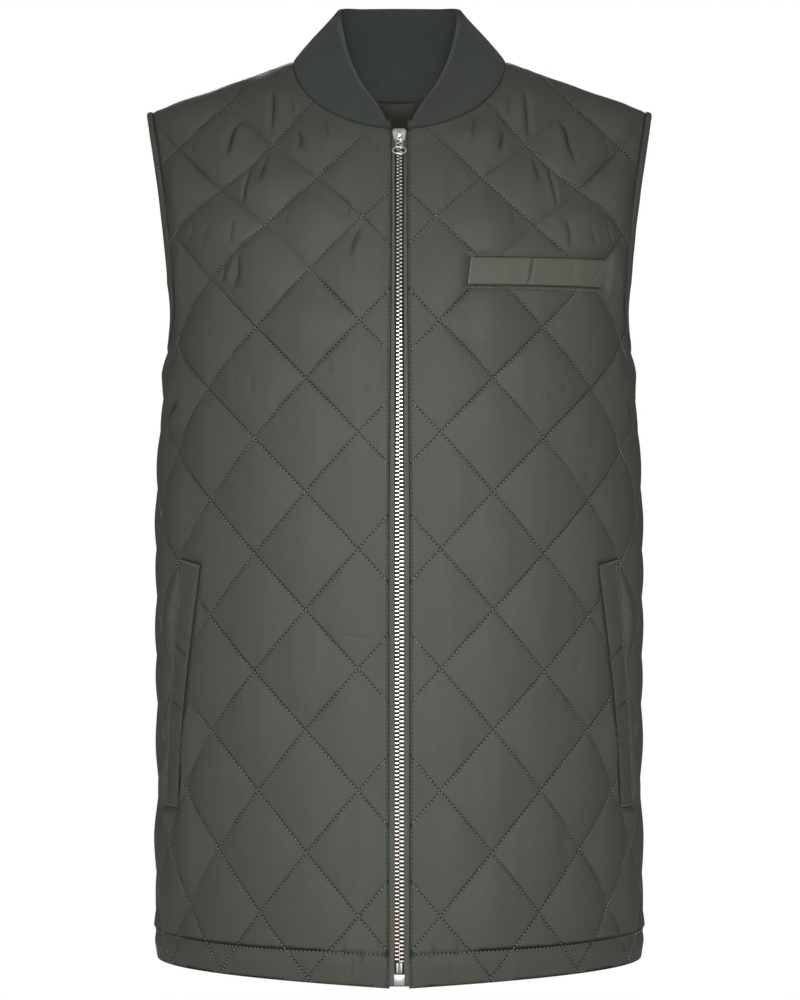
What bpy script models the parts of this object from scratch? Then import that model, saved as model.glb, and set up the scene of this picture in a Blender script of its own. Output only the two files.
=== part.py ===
"""Quilted gilet with a rib-knit collar and a closed metal front zip.

The garment stands filled out and empty. +Z is up, the front faces -Y and the
wearer's left is +X. The origin lies between the shoulders, level with the two
points where the shoulder seams meet the neck. Sizes are in metres.
"""

import math

import bpy
import numpy as np
from mathutils import Matrix, Vector
from mathutils.geometry import delaunay_2d_cdt

for leftover in list(bpy.data.objects):
    bpy.data.objects.remove(leftover, do_unlink=True)

# Cut of the body
NECK_HALF_WIDTH = 0.082
FRONT_NECK_DROP = 0.060
BACK_NECK_DROP = 0.024
SHOULDER_TIP_X = 0.196
SHOULDER_DROP = 0.041
SHOULDER_ROLL = 0.150          # height over which the cloth rolls to the shoulder seam
ARMHOLE_LOW_X = 0.1775
ARMHOLE_LOW_Z = -0.175
ARMHOLE_BOTTOM_Z = -0.222
ARMHOLE_SWEEP = 1.4            # how fast the armhole edge runs out to the shoulder tip
HEM_Z = -0.698
HEM_DEPTH = 0.025

# Cloth
WALL = 0.002
PUFF = 0.005
PUFF_POWER = 0.55
EDGE_FADE = 0.020              # puffs flatten over this width beside a seam
PRESS_DEPTH = 0.0004           # cloth pressed flat under a welt
SEAM_GAP = 0.0003

# Level sections of the body, from hem to shoulder
SECTION_COLUMNS = ("z", "half_width", "front", "back", "power")
SECTION_ROWS = np.array((
    (-0.720, 0.1905, 0.146, 0.128, 2.15),
    (-0.660, 0.1880, 0.147, 0.127, 2.20),
    (-0.560, 0.1858, 0.148, 0.125, 2.35),
    (-0.430, 0.1862, 0.149, 0.123, 2.40),
    (-0.320, 0.1852, 0.150, 0.123, 2.40),
    (-0.260, 0.1815, 0.149, 0.124, 2.40),
    (-0.210, 0.1785, 0.146, 0.125, 2.38),
    (-0.160, 0.1870, 0.137, 0.124, 2.30),
    (-0.100, 0.1990, 0.120, 0.117, 2.20),
    (-0.040, 0.2130, 0.101, 0.101, 2.10),
    (0.030, 0.2220, 0.088, 0.084, 2.10),
))

# Diamond quilting: rows of crossings, how far each row sinks towards the side,
# and how far the columns draw together on the upper chest
QUILT_FIRST_COLUMN = 0.030
QUILT_COLUMN = 0.039
QUILT_SIDE = 0.180
QUILT_ROW_COLUMNS = ("z", "row", "side_drop")
QUILT_ROWS = np.array((
    (-0.7410, 8.0, -0.004),
    (-0.6465, 7.0, -0.003),
    (-0.5545, 6.0, 0.003),
    (-0.4655, 5.0, 0.008),
    (-0.3770, 4.0, 0.011),
    (-0.2910, 3.0, 0.013),
    (-0.2072, 2.0, 0.013),
    (-0.1310, 1.0, 0.009),
    (-0.0640, 0.0, 0.005),
    (0.0100, -1.0, 0.003),
))
QUILT_GATHER_COLUMNS = ("z", "share")
QUILT_GATHER = np.array((
    (-0.720, 1.00),
    (-0.260, 1.00),
    (-0.180, 0.97),
    (-0.100, 0.91),
    (0.000, 0.85),
))

# Collar: share of the seam from front to back, and where the top edge lies there.
# The last row lies past the middle of the back, so that the edge runs on smoothly.
COLLAR_COLUMNS = ("share", "x", "y", "z")
COLLAR_ROWS = np.array((
    (0.00, 0.0080, -0.0900, -0.0570),
    (0.10, 0.0170, -0.0760, -0.0410),
    (0.22, 0.0290, -0.0570, -0.0230),
    (0.34, 0.0380, -0.0360, -0.0030),
    (0.46, 0.0440, -0.0140, 0.0190),
    (0.58, 0.0475, 0.0090, 0.0400),
    (0.68, 0.0475, 0.0280, 0.0500),
    (0.84, 0.0290, 0.0500, 0.0515),
    (1.00, 0.0000, 0.0580, 0.0515),
    (1.16, -0.0290, 0.0500, 0.0515),
))
COLLAR_WALL = 0.0035
COLLAR_BULGE = 0.0025
COLLAR_SEAM_GAP = 0.0004
RIB_PITCH = 0.0018
RIB_HEIGHT = 0.0004
RIBS_TO_A_COLUMN = 4           # ribs over each column of the plain inside

# Armhole edge strip
EDGE_WIDTH = 0.005
EDGE_OUT = 0.0014
EDGE_IN = 0.0024

# Pockets: corners as half-width x and height z on the front
CHEST_WELT = ((0.0493, -0.1793), (0.1523, -0.1803), (0.1568, -0.1588), (0.0521, -0.1595))
SIDE_WELT_TOP = (0.1485, -0.388)
SIDE_WELT_BOTTOM = (0.1665, -0.573)
SIDE_WELT_WIDTH = 0.024
WELT_THICK = 0.0020
WELT_CROWN = 0.0006
WELT_MARGIN = 0.003

# Zip
ZIP_EDGE_TOP = 0.0054          # front edge to centre line, at the neck
ZIP_EDGE_BOTTOM = 0.0073       # the same at the hem
CHAIN_HALF_WIDTH = 0.0030
CHAIN_THICK = 0.0026
TAPE_THICK = 0.0009
ZIP_PLANE = -0.0010            # middle of the tape, behind the cloth's stitched face
TAPE_TOP_Z = -0.0625
TAPE_BOTTOM_Z = -0.6890
CHAIN_TOP_Z = -0.0665
CHAIN_BOTTOM_Z = -0.6815
PIN_BOTTOM_Z = -0.6895
BOX_TOP_Z = -0.6900
BOX_BOTTOM_Z = -0.6985
BOX_HALF_WIDTH = 0.0042
BOX_THICK = 0.0040
SLIDER_Z = -0.0664
SLIDER_LENGTH = 0.0110
SLIDER_TOP_WIDTH = 0.0112
SLIDER_LOW_WIDTH = 0.0080
PLATE_THICK = 0.0014
PLATE_FRONT = 0.0006           # back of the front plate, before the cloth's stitched face
PLATE_BACK = -0.0026           # front of the back plate
BRIDGE_LENGTH = 0.0070
BRIDGE_HEIGHT = 0.0032
BRIDGE_BAR = 0.0012
BRIDGE_WIDTH = 0.0026
BRIDGE_DROP = 0.0015           # bridge's middle below the plate's middle
PULL_BAR = 0.0011
PULL_WIDTH = 0.0060
PULL_LEG = 0.0120
PULL_RING = (0.0112, 0.0072)
PULL_TILT = math.radians(3.0)  # the hanging pull leans towards the chain

# Mesh steps
SECTION_SAMPLES = 160
EDGE_STEP = 0.014
NECK_STATIONS = 18
ARMHOLE_STATIONS = (12, 6)     # down the edge, round the bottom
ARMHOLE_SPACING = 1.7          # stations lie closer together towards the shoulder
QUILT_STEPS = 3                # outer points along each side of a diamond
INNER_STEPS = 2
POINT_CLEARANCE = 0.007        # least distance of quilting points from an edge
NORMAL_STEP = 0.001

FRONT = "front"
BACK = "back"
SHOULDER_SLOPE = SHOULDER_DROP / (SHOULDER_TIP_X - NECK_HALF_WIDTH)


def smooth_table(rows, columns, name, z):
    """A table column as a smooth curve of its first column."""
    xs = rows[:, 0]
    ys = rows[:, columns.index(name)]
    slopes = np.gradient(ys, xs)
    i = np.clip(np.searchsorted(xs, z) - 1, 0, len(xs) - 2)
    h = xs[i + 1] - xs[i]
    u = np.clip((z - xs[i]) / h, 0.0, 1.0)
    start = ys[i] * (1 + 2 * u) * (1 - u) ** 2 + slopes[i] * h * u * (1 - u) ** 2
    end = ys[i + 1] * u ** 2 * (3 - 2 * u) - slopes[i + 1] * h * u ** 2 * (1 - u)
    return start + end


def smoothstep(value):
    share = np.clip(value, 0.0, 1.0)
    return share * share * (3 - 2 * share)


def ridge_z(x):
    """Height of the shoulder seams over a distance x from the middle, rounded off across the neck."""
    straight = NECK_HALF_WIDTH - x
    rounded = (NECK_HALF_WIDTH ** 2 - x ** 2) / (2 * NECK_HALF_WIDTH)
    return SHOULDER_SLOPE * np.where(x > NECK_HALF_WIDTH, straight, rounded)


def section_sizes(z, face):
    half = smooth_table(SECTION_ROWS, SECTION_COLUMNS, "half_width", z)
    depth = smooth_table(SECTION_ROWS, SECTION_COLUMNS, face, z)
    power = smooth_table(SECTION_ROWS, SECTION_COLUMNS, "power", z)
    return half, depth, power


def section_arcs(z, face):
    """Angles along each level section from the middle to the side, with their arc lengths."""
    angle = np.linspace(0.0, math.pi / 2, SECTION_SAMPLES)
    half, depth, power = (value[:, None] for value in section_sizes(z, face))
    x = half * np.sin(angle) ** (2 / power)
    y = depth * np.cos(angle) ** (2 / power)
    steps = np.hypot(np.diff(x, axis=1), np.diff(y, axis=1))
    arc = np.concatenate((np.zeros((len(z), 1)), np.cumsum(steps, axis=1)), axis=1)
    return angle, arc


def angle_at_arc(s, z, face):
    angle, arc = section_arcs(z, face)
    rows = np.arange(len(z))
    i = np.clip((arc < s[:, None]).sum(axis=1), 1, SECTION_SAMPLES - 1)
    share = (s - arc[rows, i - 1]) / (arc[rows, i] - arc[rows, i - 1])
    return np.clip(angle[i - 1] + share * (angle[1] - angle[0]), 0.0, math.pi / 2)


def arc_at_x(x, z, face):
    """Arc length from the middle to a distance x, along the level section at z."""
    z = np.atleast_1d(np.asarray(z, float))
    x = np.broadcast_to(np.asarray(x, float), z.shape)
    half, _, power = section_sizes(z, face)
    wanted = np.arcsin(np.clip(x / half, 0.0, 1.0) ** (power / 2))
    angle, arc = section_arcs(z, face)
    return np.array([np.interp(w, angle, row) for w, row in zip(wanted, arc)])


def side_arc(z, face):
    return arc_at_x(1.0, z, face)


def cloth_height(x, z):
    """Height along the cloth: level height, unrolled over the shoulder."""
    fall = np.clip((ridge_z(x) - z) / SHOULDER_ROLL, 0.0, 1.0)
    lean = np.pi / 2 - np.arccos(1 - fall)
    return np.where(fall < 1.0, ridge_z(x) - SHOULDER_ROLL * (1 - lean), z)


def cloth_points(chart, face):
    """Points of the stitched face from chart points (arc from the middle, cloth height)."""
    s = np.abs(chart[:, 0])
    t = chart[:, 1]
    z = t.copy()
    for _ in range(8):
        angle = angle_at_arc(s, z, face)
        half, depth, power = section_sizes(z, face)
        x = half * np.sin(angle) ** (2 / power)
        turn = np.clip(np.pi / 2 - (t - ridge_z(x) + SHOULDER_ROLL) / SHOULDER_ROLL, 0.0, np.pi / 2)
        z = np.where(turn < np.pi / 2, ridge_z(x) - SHOULDER_ROLL * (1 - np.cos(turn)), t)
    y = depth * np.cos(angle) ** (2 / power) * np.sin(turn)
    forward = -1.0 if face == FRONT else 1.0
    return np.stack((x * np.sign(chart[:, 0]), y * forward, z), axis=1)


def cloth_frame(chart, face):
    """Points of the stitched face with the normals that point out of the garment."""
    points = cloth_points(chart, face)
    along = cloth_points(chart + (NORMAL_STEP, 0.0), face) - cloth_points(chart - (NORMAL_STEP, 0.0), face)
    up = cloth_points(chart + (0.0, NORMAL_STEP), face) - cloth_points(chart - (0.0, NORMAL_STEP), face)
    normals = np.cross(along, up)
    if face == BACK:
        normals = -normals
    return points, normals / np.linalg.norm(normals, axis=1, keepdims=True)


def chart_from_front_view(x, z, face):
    """Chart points from distances x and heights z, as the front view shows them."""
    x = np.atleast_1d(np.asarray(x, float))
    z = np.broadcast_to(np.asarray(z, float), x.shape)
    return np.stack((arc_at_x(x, z, face), cloth_height(x, z)), axis=1)


def mirrored(chart):
    return chart[::-1] * (-1.0, 1.0)


def quilt_gather(z):
    return smooth_table(QUILT_GATHER, QUILT_GATHER_COLUMNS, "share", z)


def quilt_row(s, z):
    """Row number of the quilting at a point, counted down from the top crossing."""
    sink = (s / QUILT_SIDE) ** 2
    row = smooth_table(QUILT_ROWS, QUILT_ROW_COLUMNS, "row", z)
    for _ in range(3):
        level = z + sink * smooth_table(QUILT_ROWS[::-1][:, [1, 0, 2]], ("row", "z", "side_drop"), "side_drop", row)
        row = smooth_table(QUILT_ROWS, QUILT_ROW_COLUMNS, "row", level)
    return row


def quilt_column(s, z, face):
    """Column number of the quilting at a point, counted out from the middle."""
    first = QUILT_FIRST_COLUMN if face == FRONT else 0.0
    return (np.abs(s) / quilt_gather(z) - first) / QUILT_COLUMN


def quilt_puff(s, z, face):
    """Height of the quilted cloth over its stitch lines, as a share of the full puff."""
    row = quilt_row(s, z)
    column = quilt_column(s, z, face)
    down = np.abs(np.sin(np.pi * (row - column / 2)))
    across = np.abs(np.sin(np.pi * (row + column / 2)))
    return (down * across) ** PUFF_POWER


def quilt_points(face, steps):
    """Chart points along the stitch lines and across the diamonds, on one half of the garment."""
    first = QUILT_FIRST_COLUMN if face == FRONT else 0.0
    by_row = QUILT_ROWS[::-1][:, [1, 0, 2]]
    names = ("row", "z", "side_drop")
    reach = 8 * steps
    found = []
    for i in range(-reach, 2 * reach):
        for j in range(-reach, 2 * reach):
            column = (j - i) / steps
            row = (i + j) / (2 * steps)
            if -1.0 <= row <= 8.0 and -1.0 <= column <= 9.0:
                found.append((column, row))
    column, row = np.array(found).T
    level = smooth_table(by_row, names, "z", row)
    drop = smooth_table(by_row, names, "side_drop", row)
    s = first + column * QUILT_COLUMN
    z = level - drop * (s / QUILT_SIDE) ** 2
    s = s * quilt_gather(z)
    angle = angle_at_arc(s, z, face)
    half, _, power = section_sizes(z, face)
    x = half * np.sin(angle) ** (2 / power)
    on_cloth = (ridge_z(x) - z > 0.002) & (s >= 0.0)
    return np.stack((s, cloth_height(x, z)), axis=1)[on_cloth]


def edge_distance(points, outline):
    """Distance of each chart point from a closed outline."""
    start = outline[None, :, :]
    run = np.roll(outline, -1, axis=0)[None, :, :] - start
    rel = points[:, None, :] - start
    share = np.clip((rel * run).sum(2) / (run ** 2).sum(2), 0.0, 1.0)
    return np.linalg.norm(rel - share[:, :, None] * run, axis=2).min(axis=1)


def is_inside(points, outline):
    x, y = points[:, 0, None], points[:, 1, None]
    x0, y0 = outline[None, :, 0], outline[None, :, 1]
    x1, y1 = np.roll(outline[:, 0], -1)[None], np.roll(outline[:, 1], -1)[None]
    crosses = (y0 > y) != (y1 > y)
    at = x0 + (y - y0) * (x1 - x0) / np.where(y1 == y0, 1.0, y1 - y0)
    return (crosses & (x < at)).sum(axis=1) % 2 == 1


def counter_clockwise(outline):
    nxt = np.roll(outline, -1, axis=0)
    area = (outline[:, 0] * nxt[:, 1] - nxt[:, 0] * outline[:, 1]).sum()
    return outline if area > 0 else outline[::-1]


def even_line(start, end, step):
    """Points from start up to, but not including, end."""
    start, end = np.asarray(start, float), np.asarray(end, float)
    count = max(1, round(float(np.linalg.norm(end - start)) / step))
    return start + (end - start) * (np.arange(count) / count)[:, None]


def triangulate(outline, extra, rings):
    """Triangles over an outline, with the edges of the given rings kept."""
    points = [outline] + rings + [extra]
    first = len(outline)
    kept_edges = []
    for ring in rings:
        kept_edges += [(first + i, first + (i + 1) % len(ring)) for i in range(len(ring))]
        first += len(ring)
    flat = [Vector(point) for point in np.concatenate(points)]
    result = delaunay_2d_cdt(flat, kept_edges, [list(range(len(outline)))], 1, 1e-7)
    placed = np.array([tuple(point) for point in result[0]])
    return placed, [list(face) for face in result[2]]


def principled(name, colour, roughness, metallic=0.0):
    material = bpy.data.materials.new(name)
    material.use_nodes = True
    shader = material.node_tree.nodes["Principled BSDF"]
    shader.inputs["Base Color"].default_value = (*colour, 1.0)
    shader.inputs["Roughness"].default_value = roughness
    shader.inputs["Metallic"].default_value = metallic
    material.diffuse_color = (*colour, 1.0)
    return material


SHELL = principled("quilted_shell", (0.082, 0.090, 0.072), 0.55)
KNIT = principled("rib_knit", (0.052, 0.057, 0.050), 0.95)
TAPE = principled("zip_tape", (0.075, 0.078, 0.064), 0.90)
METAL = principled("zip_metal", (0.62, 0.58, 0.54), 0.30, 1.0)


def add_solid(name, points, faces, material, place=None):
    mesh = bpy.data.meshes.new(name)
    mesh.from_pydata([tuple(point) for point in points], [], faces)
    mesh.materials.append(material)
    mesh.shade_smooth()
    mesh.set_sharp_from_angle(angle=math.radians(40))
    solid = bpy.data.objects.new(name, mesh)
    if place is not None:
        solid.matrix_world = place
    bpy.context.scene.collection.objects.link(solid)
    return solid


def grid_solid(name, outer, inner, material, closed=False):
    """Closed solid between two grids of points; closed joins the last column to the first."""
    rows, columns = outer.shape[:2]
    points = np.concatenate((outer.reshape(-1, 3), inner.reshape(-1, 3)))
    under = rows * columns
    faces = []
    spans = columns if closed else columns - 1
    for r in range(rows - 1):
        for c in range(spans):
            a, b = r * columns + c, r * columns + (c + 1) % columns
            d, e = a + columns, b + columns
            faces += [[a, b, e, d], [under + d, under + e, under + b, under + a]]
    for c in range(spans):
        a, b = c, (c + 1) % columns
        faces.append([b, a, under + a, under + b])
        a, b = a + under - columns, b + under - columns
        faces.append([a, b, under + b, under + a])
    if not closed:
        for r in range(rows - 1):
            a, d = r * columns, (r + 1) * columns
            faces.append([a, d, under + d, under + a])
            a, d = a + columns - 1, d + columns - 1
            faces.append([d, a, under + a, under + d])
    return add_solid(name, points, faces, material)


def neck_chart(face):
    """Neckline of one half, from the shoulder seam to the middle."""
    drop = FRONT_NECK_DROP if face == FRONT else BACK_NECK_DROP
    low = math.asin(ZIP_EDGE_TOP / NECK_HALF_WIDTH) if face == FRONT else 0.0
    swing = np.linspace(math.pi / 2, low, NECK_STATIONS)
    return chart_from_front_view(NECK_HALF_WIDTH * np.sin(swing), -drop * np.cos(swing), face)


def armhole_chart(face, inset):
    """Armhole of one half, from the shoulder seam to the side, moved into the cloth by inset."""
    down, around = ARMHOLE_STATIONS
    tip = SHOULDER_TIP_X - inset
    z = ridge_z(tip) + (ARMHOLE_LOW_Z - ridge_z(tip)) * np.linspace(0.0, 1.0, down) ** ARMHOLE_SPACING
    rise = np.clip((z - ARMHOLE_LOW_Z) / (ridge_z(SHOULDER_TIP_X) - ARMHOLE_LOW_Z), 0.0, None)
    x = ARMHOLE_LOW_X + (SHOULDER_TIP_X - ARMHOLE_LOW_X) * rise ** ARMHOLE_SWEEP - inset
    x[0] = tip
    edge = chart_from_front_view(x, z, face)
    bottom = ARMHOLE_BOTTOM_Z - inset
    swing = np.linspace(0.0, math.pi / 2, around + 1)[1:]
    run = side_arc(bottom, face) - edge[-1, 0]
    curve = edge[-1] + np.stack((run * (1 - np.cos(swing)), (bottom - ARMHOLE_LOW_Z) * np.sin(swing)), axis=1)
    return np.concatenate((edge, curve))


def half_outline(face):
    """Chart outline of a half body from the neckline's middle over the shoulder to the hem's middle."""
    neck = neck_chart(face)[::-1]
    armhole = armhole_chart(face, EDGE_WIDTH + SEAM_GAP)
    shoulder = even_line(neck[-1], armhole[0], EDGE_STEP)[1:]
    shoulder_x = np.interp(shoulder[:, 0], (neck[-1, 0], armhole[0, 0]), (NECK_HALF_WIDTH, SHOULDER_TIP_X - EDGE_WIDTH))
    shoulder = chart_from_front_view(shoulder_x, ridge_z(shoulder_x), face)
    side_z = even_line((0.0, armhole[-1, 1]), (0.0, HEM_Z), EDGE_STEP)[1:, 1]
    side = np.stack((side_arc(side_z, face), side_z), axis=1)
    middle = (ZIP_EDGE_BOTTOM if face == FRONT else 0.0, HEM_Z)
    corner = (float(side_arc(HEM_Z, face)[0]), HEM_Z)
    hem = even_line(corner, middle, EDGE_STEP)
    sewn = np.concatenate((neck[-1:], shoulder, armhole[:1])) - (0.0, 0.0006)
    seam_side = np.concatenate((armhole[-1:], side, hem[:1])) - (SEAM_GAP / 2, 0.0)
    return np.concatenate((neck[:-1], sewn, armhole[1:-1], seam_side, hem[1:], [middle]))


def front_outline():
    half = half_outline(FRONT)
    return counter_clockwise(np.concatenate((half, even_line(half[-1], half[0], EDGE_STEP)[1:])))


def back_outline():
    half = half_outline(BACK)
    return counter_clockwise(np.concatenate((half, mirrored(half)[1:-1])))


def welt_ring(corners, margin):
    """Chart outline round a welt's four corners, a margin wider."""
    centre = corners.mean(axis=0)
    grown = corners + np.sign(corners - centre) * margin
    sides = [even_line(grown[i], grown[(i + 1) % 4], EDGE_STEP) for i in range(4)]
    return np.concatenate(sides)


def quilted_wall(name, face, outline, presses, both_halves, side):
    """Quilted cloth over an outline: puffed outside, plain inside, pressed flat under the welts."""
    rings = [welt_ring(corners, WELT_MARGIN) for corners in presses]
    hem_line = HEM_Z + HEM_DEPTH

    def kept(points):
        halves = [points * (1.0, 1.0), points * (-1.0, 1.0)] if both_halves else [points * (side, 1.0)]
        points = np.unique(np.round(np.concatenate(halves), 7), axis=0)
        clear = is_inside(points, outline) & (edge_distance(points, outline) > POINT_CLEARANCE)
        clear &= np.abs(points[:, 1] - hem_line) > POINT_CLEARANCE
        for ring in rings:
            clear &= edge_distance(points, ring) > POINT_CLEARANCE
        return points[clear]

    reach = outline[np.abs(outline[:, 1] - HEM_Z) < 1e-6, 0]
    hem_s = np.arange(reach.min() + EDGE_STEP / 2, reach.max() - EDGE_STEP / 4, EDGE_STEP)
    hem_points = np.stack((hem_s, np.full(len(hem_s), hem_line)), axis=1)
    outer_extra = np.concatenate((kept(quilt_points(face, QUILT_STEPS)), hem_points))
    outer_chart, outer_faces = triangulate(outline, outer_extra, rings)
    inner_chart, inner_faces = triangulate(outline, kept(quilt_points(face, INNER_STEPS)), [])

    points, normals = cloth_frame(outer_chart, face)
    fade = smoothstep(edge_distance(outer_chart, outline) / EDGE_FADE)
    fade *= smoothstep(np.abs(outer_chart[:, 1] - hem_line) / (EDGE_FADE / 2))
    height = PUFF * quilt_puff(np.abs(outer_chart[:, 0]), points[:, 2], face) * fade
    for ring in rings:
        pressed = is_inside(outer_chart, ring) | (edge_distance(outer_chart, ring) < 1e-6)
        height *= smoothstep(edge_distance(outer_chart, ring) / EDGE_FADE)
        height[pressed] = -PRESS_DEPTH
    outer = points + normals * height[:, None]
    points, normals = cloth_frame(inner_chart, face)
    inner = points - normals * WALL

    under = len(outer)
    faces = outer_faces + [[under + i for i in reversed(face_)] for face_ in inner_faces]
    rim = len(outline)
    faces += [[(i + 1) % rim, i, under + i, under + (i + 1) % rim] for i in range(rim)]
    if face == BACK:
        faces = [list(reversed(face_)) for face_ in faces]
    return add_solid(name, np.concatenate((outer, inner)), faces, SHELL)


def chest_welt_chart():
    x, z = np.array(CHEST_WELT).T
    return chart_from_front_view(x, z, FRONT)


def side_welt_chart():
    (top_x, top_z), (low_x, low_z) = SIDE_WELT_TOP, SIDE_WELT_BOTTOM
    low, top = chart_from_front_view((low_x, top_x), (low_z, top_z), FRONT)
    across = np.array((SIDE_WELT_WIDTH, 0.0))
    return np.array((low, low + across, top + across, top))


def welt(name, corners, side):
    """Pocket welt: a thin plate that follows the cloth, slightly crowned."""
    low_left, low_right, top_right, top_left = corners
    rows = max(3, round(np.linalg.norm(top_left - low_left) / 0.008)) + 1
    columns = max(3, round(np.linalg.norm(low_right - low_left) / 0.008)) + 1
    v, u = np.meshgrid(np.linspace(0, 1, rows), np.linspace(0, 1, columns), indexing="ij")
    low = low_left + (low_right - low_left) * u[..., None]
    top = top_left + (top_right - top_left) * u[..., None]
    chart = (low + (top - low) * v[..., None]).reshape(-1, 2)
    points, normals = cloth_frame(chart, FRONT)
    crown = WELT_CROWN * np.minimum(1.0, 4 * np.minimum.reduce((u, 1 - u, v, 1 - v))).reshape(-1, 1)
    outer = (points + normals * (SEAM_GAP + WELT_THICK + crown)).reshape(rows, columns, 3)
    inner = (points + normals * SEAM_GAP).reshape(rows, columns, 3)
    if side < 0:
        outer = outer[:, ::-1] * (-1.0, 1.0, 1.0)
        inner = inner[:, ::-1] * (-1.0, 1.0, 1.0)
    return grid_solid(name, outer, inner, SHELL)


def armhole_edge(name, side):
    """Narrow turned strip round one armhole, a closed ring."""
    def ring(inset):
        front_points, front_normals = cloth_frame(armhole_chart(FRONT, inset), FRONT)
        back_points, back_normals = cloth_frame(armhole_chart(BACK, inset), BACK)
        points = np.concatenate((front_points, back_points[-2:0:-1]))
        return points, np.concatenate((front_normals, back_normals[-2:0:-1]))

    edge, edge_normals = ring(0.0)
    sewn, sewn_normals = ring(EDGE_WIDTH)
    outer = np.stack((sewn + sewn_normals * EDGE_OUT, edge + edge_normals * EDGE_OUT / 2))
    inner = np.stack((sewn - sewn_normals * EDGE_IN, edge - edge_normals * EDGE_IN))
    if side < 0:
        outer = outer[:, ::-1] * (-1.0, 1.0, 1.0)
        inner = inner[:, ::-1] * (-1.0, 1.0, 1.0)
    return grid_solid(name, outer, inner, SHELL, closed=True)


def neck_seam():
    """Neck seam of the left half from the zip to the middle of the back, with the panels' normals."""
    front = cloth_frame(neck_chart(FRONT)[::-1], FRONT)
    back = cloth_frame(neck_chart(BACK), BACK)
    return [np.concatenate((a, b[1:])) for a, b in zip(front, back)]


def collar(name):
    """Rib-knit band: fine ribs outside, plain inside, tapered to the zip at both ends."""
    seam, seam_normals = neck_seam()
    length = np.concatenate(([0.0], np.cumsum(np.linalg.norm(np.diff(seam, axis=0), axis=1))))
    length /= length[-1]
    total = 2 * np.linalg.norm(np.diff(seam, axis=0), axis=1).sum()
    ribs = RIBS_TO_A_COLUMN * round(total / RIB_PITCH / RIBS_TO_A_COLUMN)
    span = 2 * RIBS_TO_A_COLUMN

    def surface(shares, heights):
        near = np.minimum(shares, 2 - shares)
        mirror = np.where(shares > 1, -1.0, 1.0)[:, None] ** (1, 0, 0)
        low = np.stack([np.interp(near, length, seam[:, k]) for k in range(3)], axis=1)
        low_n = np.stack([np.interp(near, length, seam_normals[:, k]) for k in range(3)], axis=1)
        top = np.stack([smooth_table(COLLAR_ROWS, COLLAR_COLUMNS, k, near) for k in "xyz"], axis=1)
        rise = np.linalg.norm(top - low, axis=1, keepdims=True)
        low = low + (top - low) * COLLAR_SEAM_GAP / rise
        low, low_n, top = low * mirror, low_n * mirror, top * mirror
        return np.stack([low + (top - low) * h for h in heights]), low_n

    def normals_of(grid, seam_n):
        along = np.gradient(grid, axis=1)
        up = np.gradient(grid, axis=0)
        cross = np.cross(along, up)
        cross /= np.linalg.norm(cross, axis=2, keepdims=True)
        cross[0] = seam_n / np.linalg.norm(seam_n, axis=1, keepdims=True)
        return cross

    heights = np.array((0.0, 0.45, 1.0))
    bulge = COLLAR_BULGE * np.sin(np.pi * heights)[:, None, None]
    fine = np.linspace(0.0, 2.0, 2 * ribs + 1)
    coarse = fine[::span]
    outer, seam_n = surface(fine, heights)
    outer_n = normals_of(outer, seam_n)
    crest = RIB_HEIGHT * (np.arange(len(fine)) % 2)[None, :, None]
    crest = crest * np.array((0.0, 1.0, 1.0))[:, None, None]
    outer = outer + outer_n * (bulge + crest)
    inner, seam_n = surface(coarse, heights)
    inner_n = normals_of(inner, seam_n)
    inner = inner - inner_n * (COLLAR_WALL - bulge)

    rows, columns = outer.shape[:2]
    few = inner.shape[1]
    under = rows * columns
    faces = []
    for r in range(rows - 1):
        for c in range(columns - 1):
            a = r * columns + c
            faces.append([a, a + 1, a + columns + 1, a + columns])
        for c in range(few - 1):
            a = under + r * few + c
            faces.append([a + few, a + few + 1, a + 1, a])
    for r, turn in ((0, 1), (rows - 1, -1)):
        for c in range(few - 1):
            near, far = under + r * few + c, under + r * few + c + 1
            start = r * columns + span * c
            middle = span // 2
            fan = [[near, start + k + 1, start + k] for k in range(middle)]
            fan += [[far, start + k + 1, start + k] for k in range(middle, span)]
            fan.append([near, far, start + middle])
            faces += [face[::turn] for face in fan]
    for r in range(rows - 1):
        a, d = r * columns, (r + 1) * columns
        u, w = under + r * few, under + (r + 1) * few
        faces.append([a, d, w, u])
        faces.append([d + columns - 1, a + columns - 1, u + few - 1, w + few - 1])
    return add_solid(name, np.concatenate((outer.reshape(-1, 3), inner.reshape(-1, 3))), faces, KNIT)


def zip_line(z):
    """Points and normals of the stitched face along the middle of the front."""
    z = np.asarray(z, float)
    chart = np.stack((np.full(z.shape, 1e-6), cloth_height(0.0, z)), axis=1)
    points, normals = cloth_frame(chart, FRONT)
    points[:, 0] = 0.0
    normals[:, 0] = 0.0
    return points, normals / np.linalg.norm(normals, axis=1, keepdims=True)


def zip_edge(z):
    share = (-FRONT_NECK_DROP - z) / (-FRONT_NECK_DROP - HEM_Z)
    return ZIP_EDGE_TOP + (ZIP_EDGE_BOTTOM - ZIP_EDGE_TOP) * share


def zip_strip(name, z_top, z_bottom, left, right, thick, material):
    """Strip along the zip between two distances from the middle, given at each height."""
    count = max(2, round((z_top - z_bottom) / EDGE_STEP) + 1)
    z = np.linspace(z_bottom, z_top, count)
    points, normals = zip_line(z)
    middle = points + normals * ZIP_PLANE
    sides = [middle + np.stack((edge(z), 0 * z, 0 * z), axis=1) for edge in (left, right)]
    rows = np.stack(sides, axis=1)
    offset = normals[:, None, :] * thick / 2
    return grid_solid(name, rows + offset, rows - offset, material)


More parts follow.
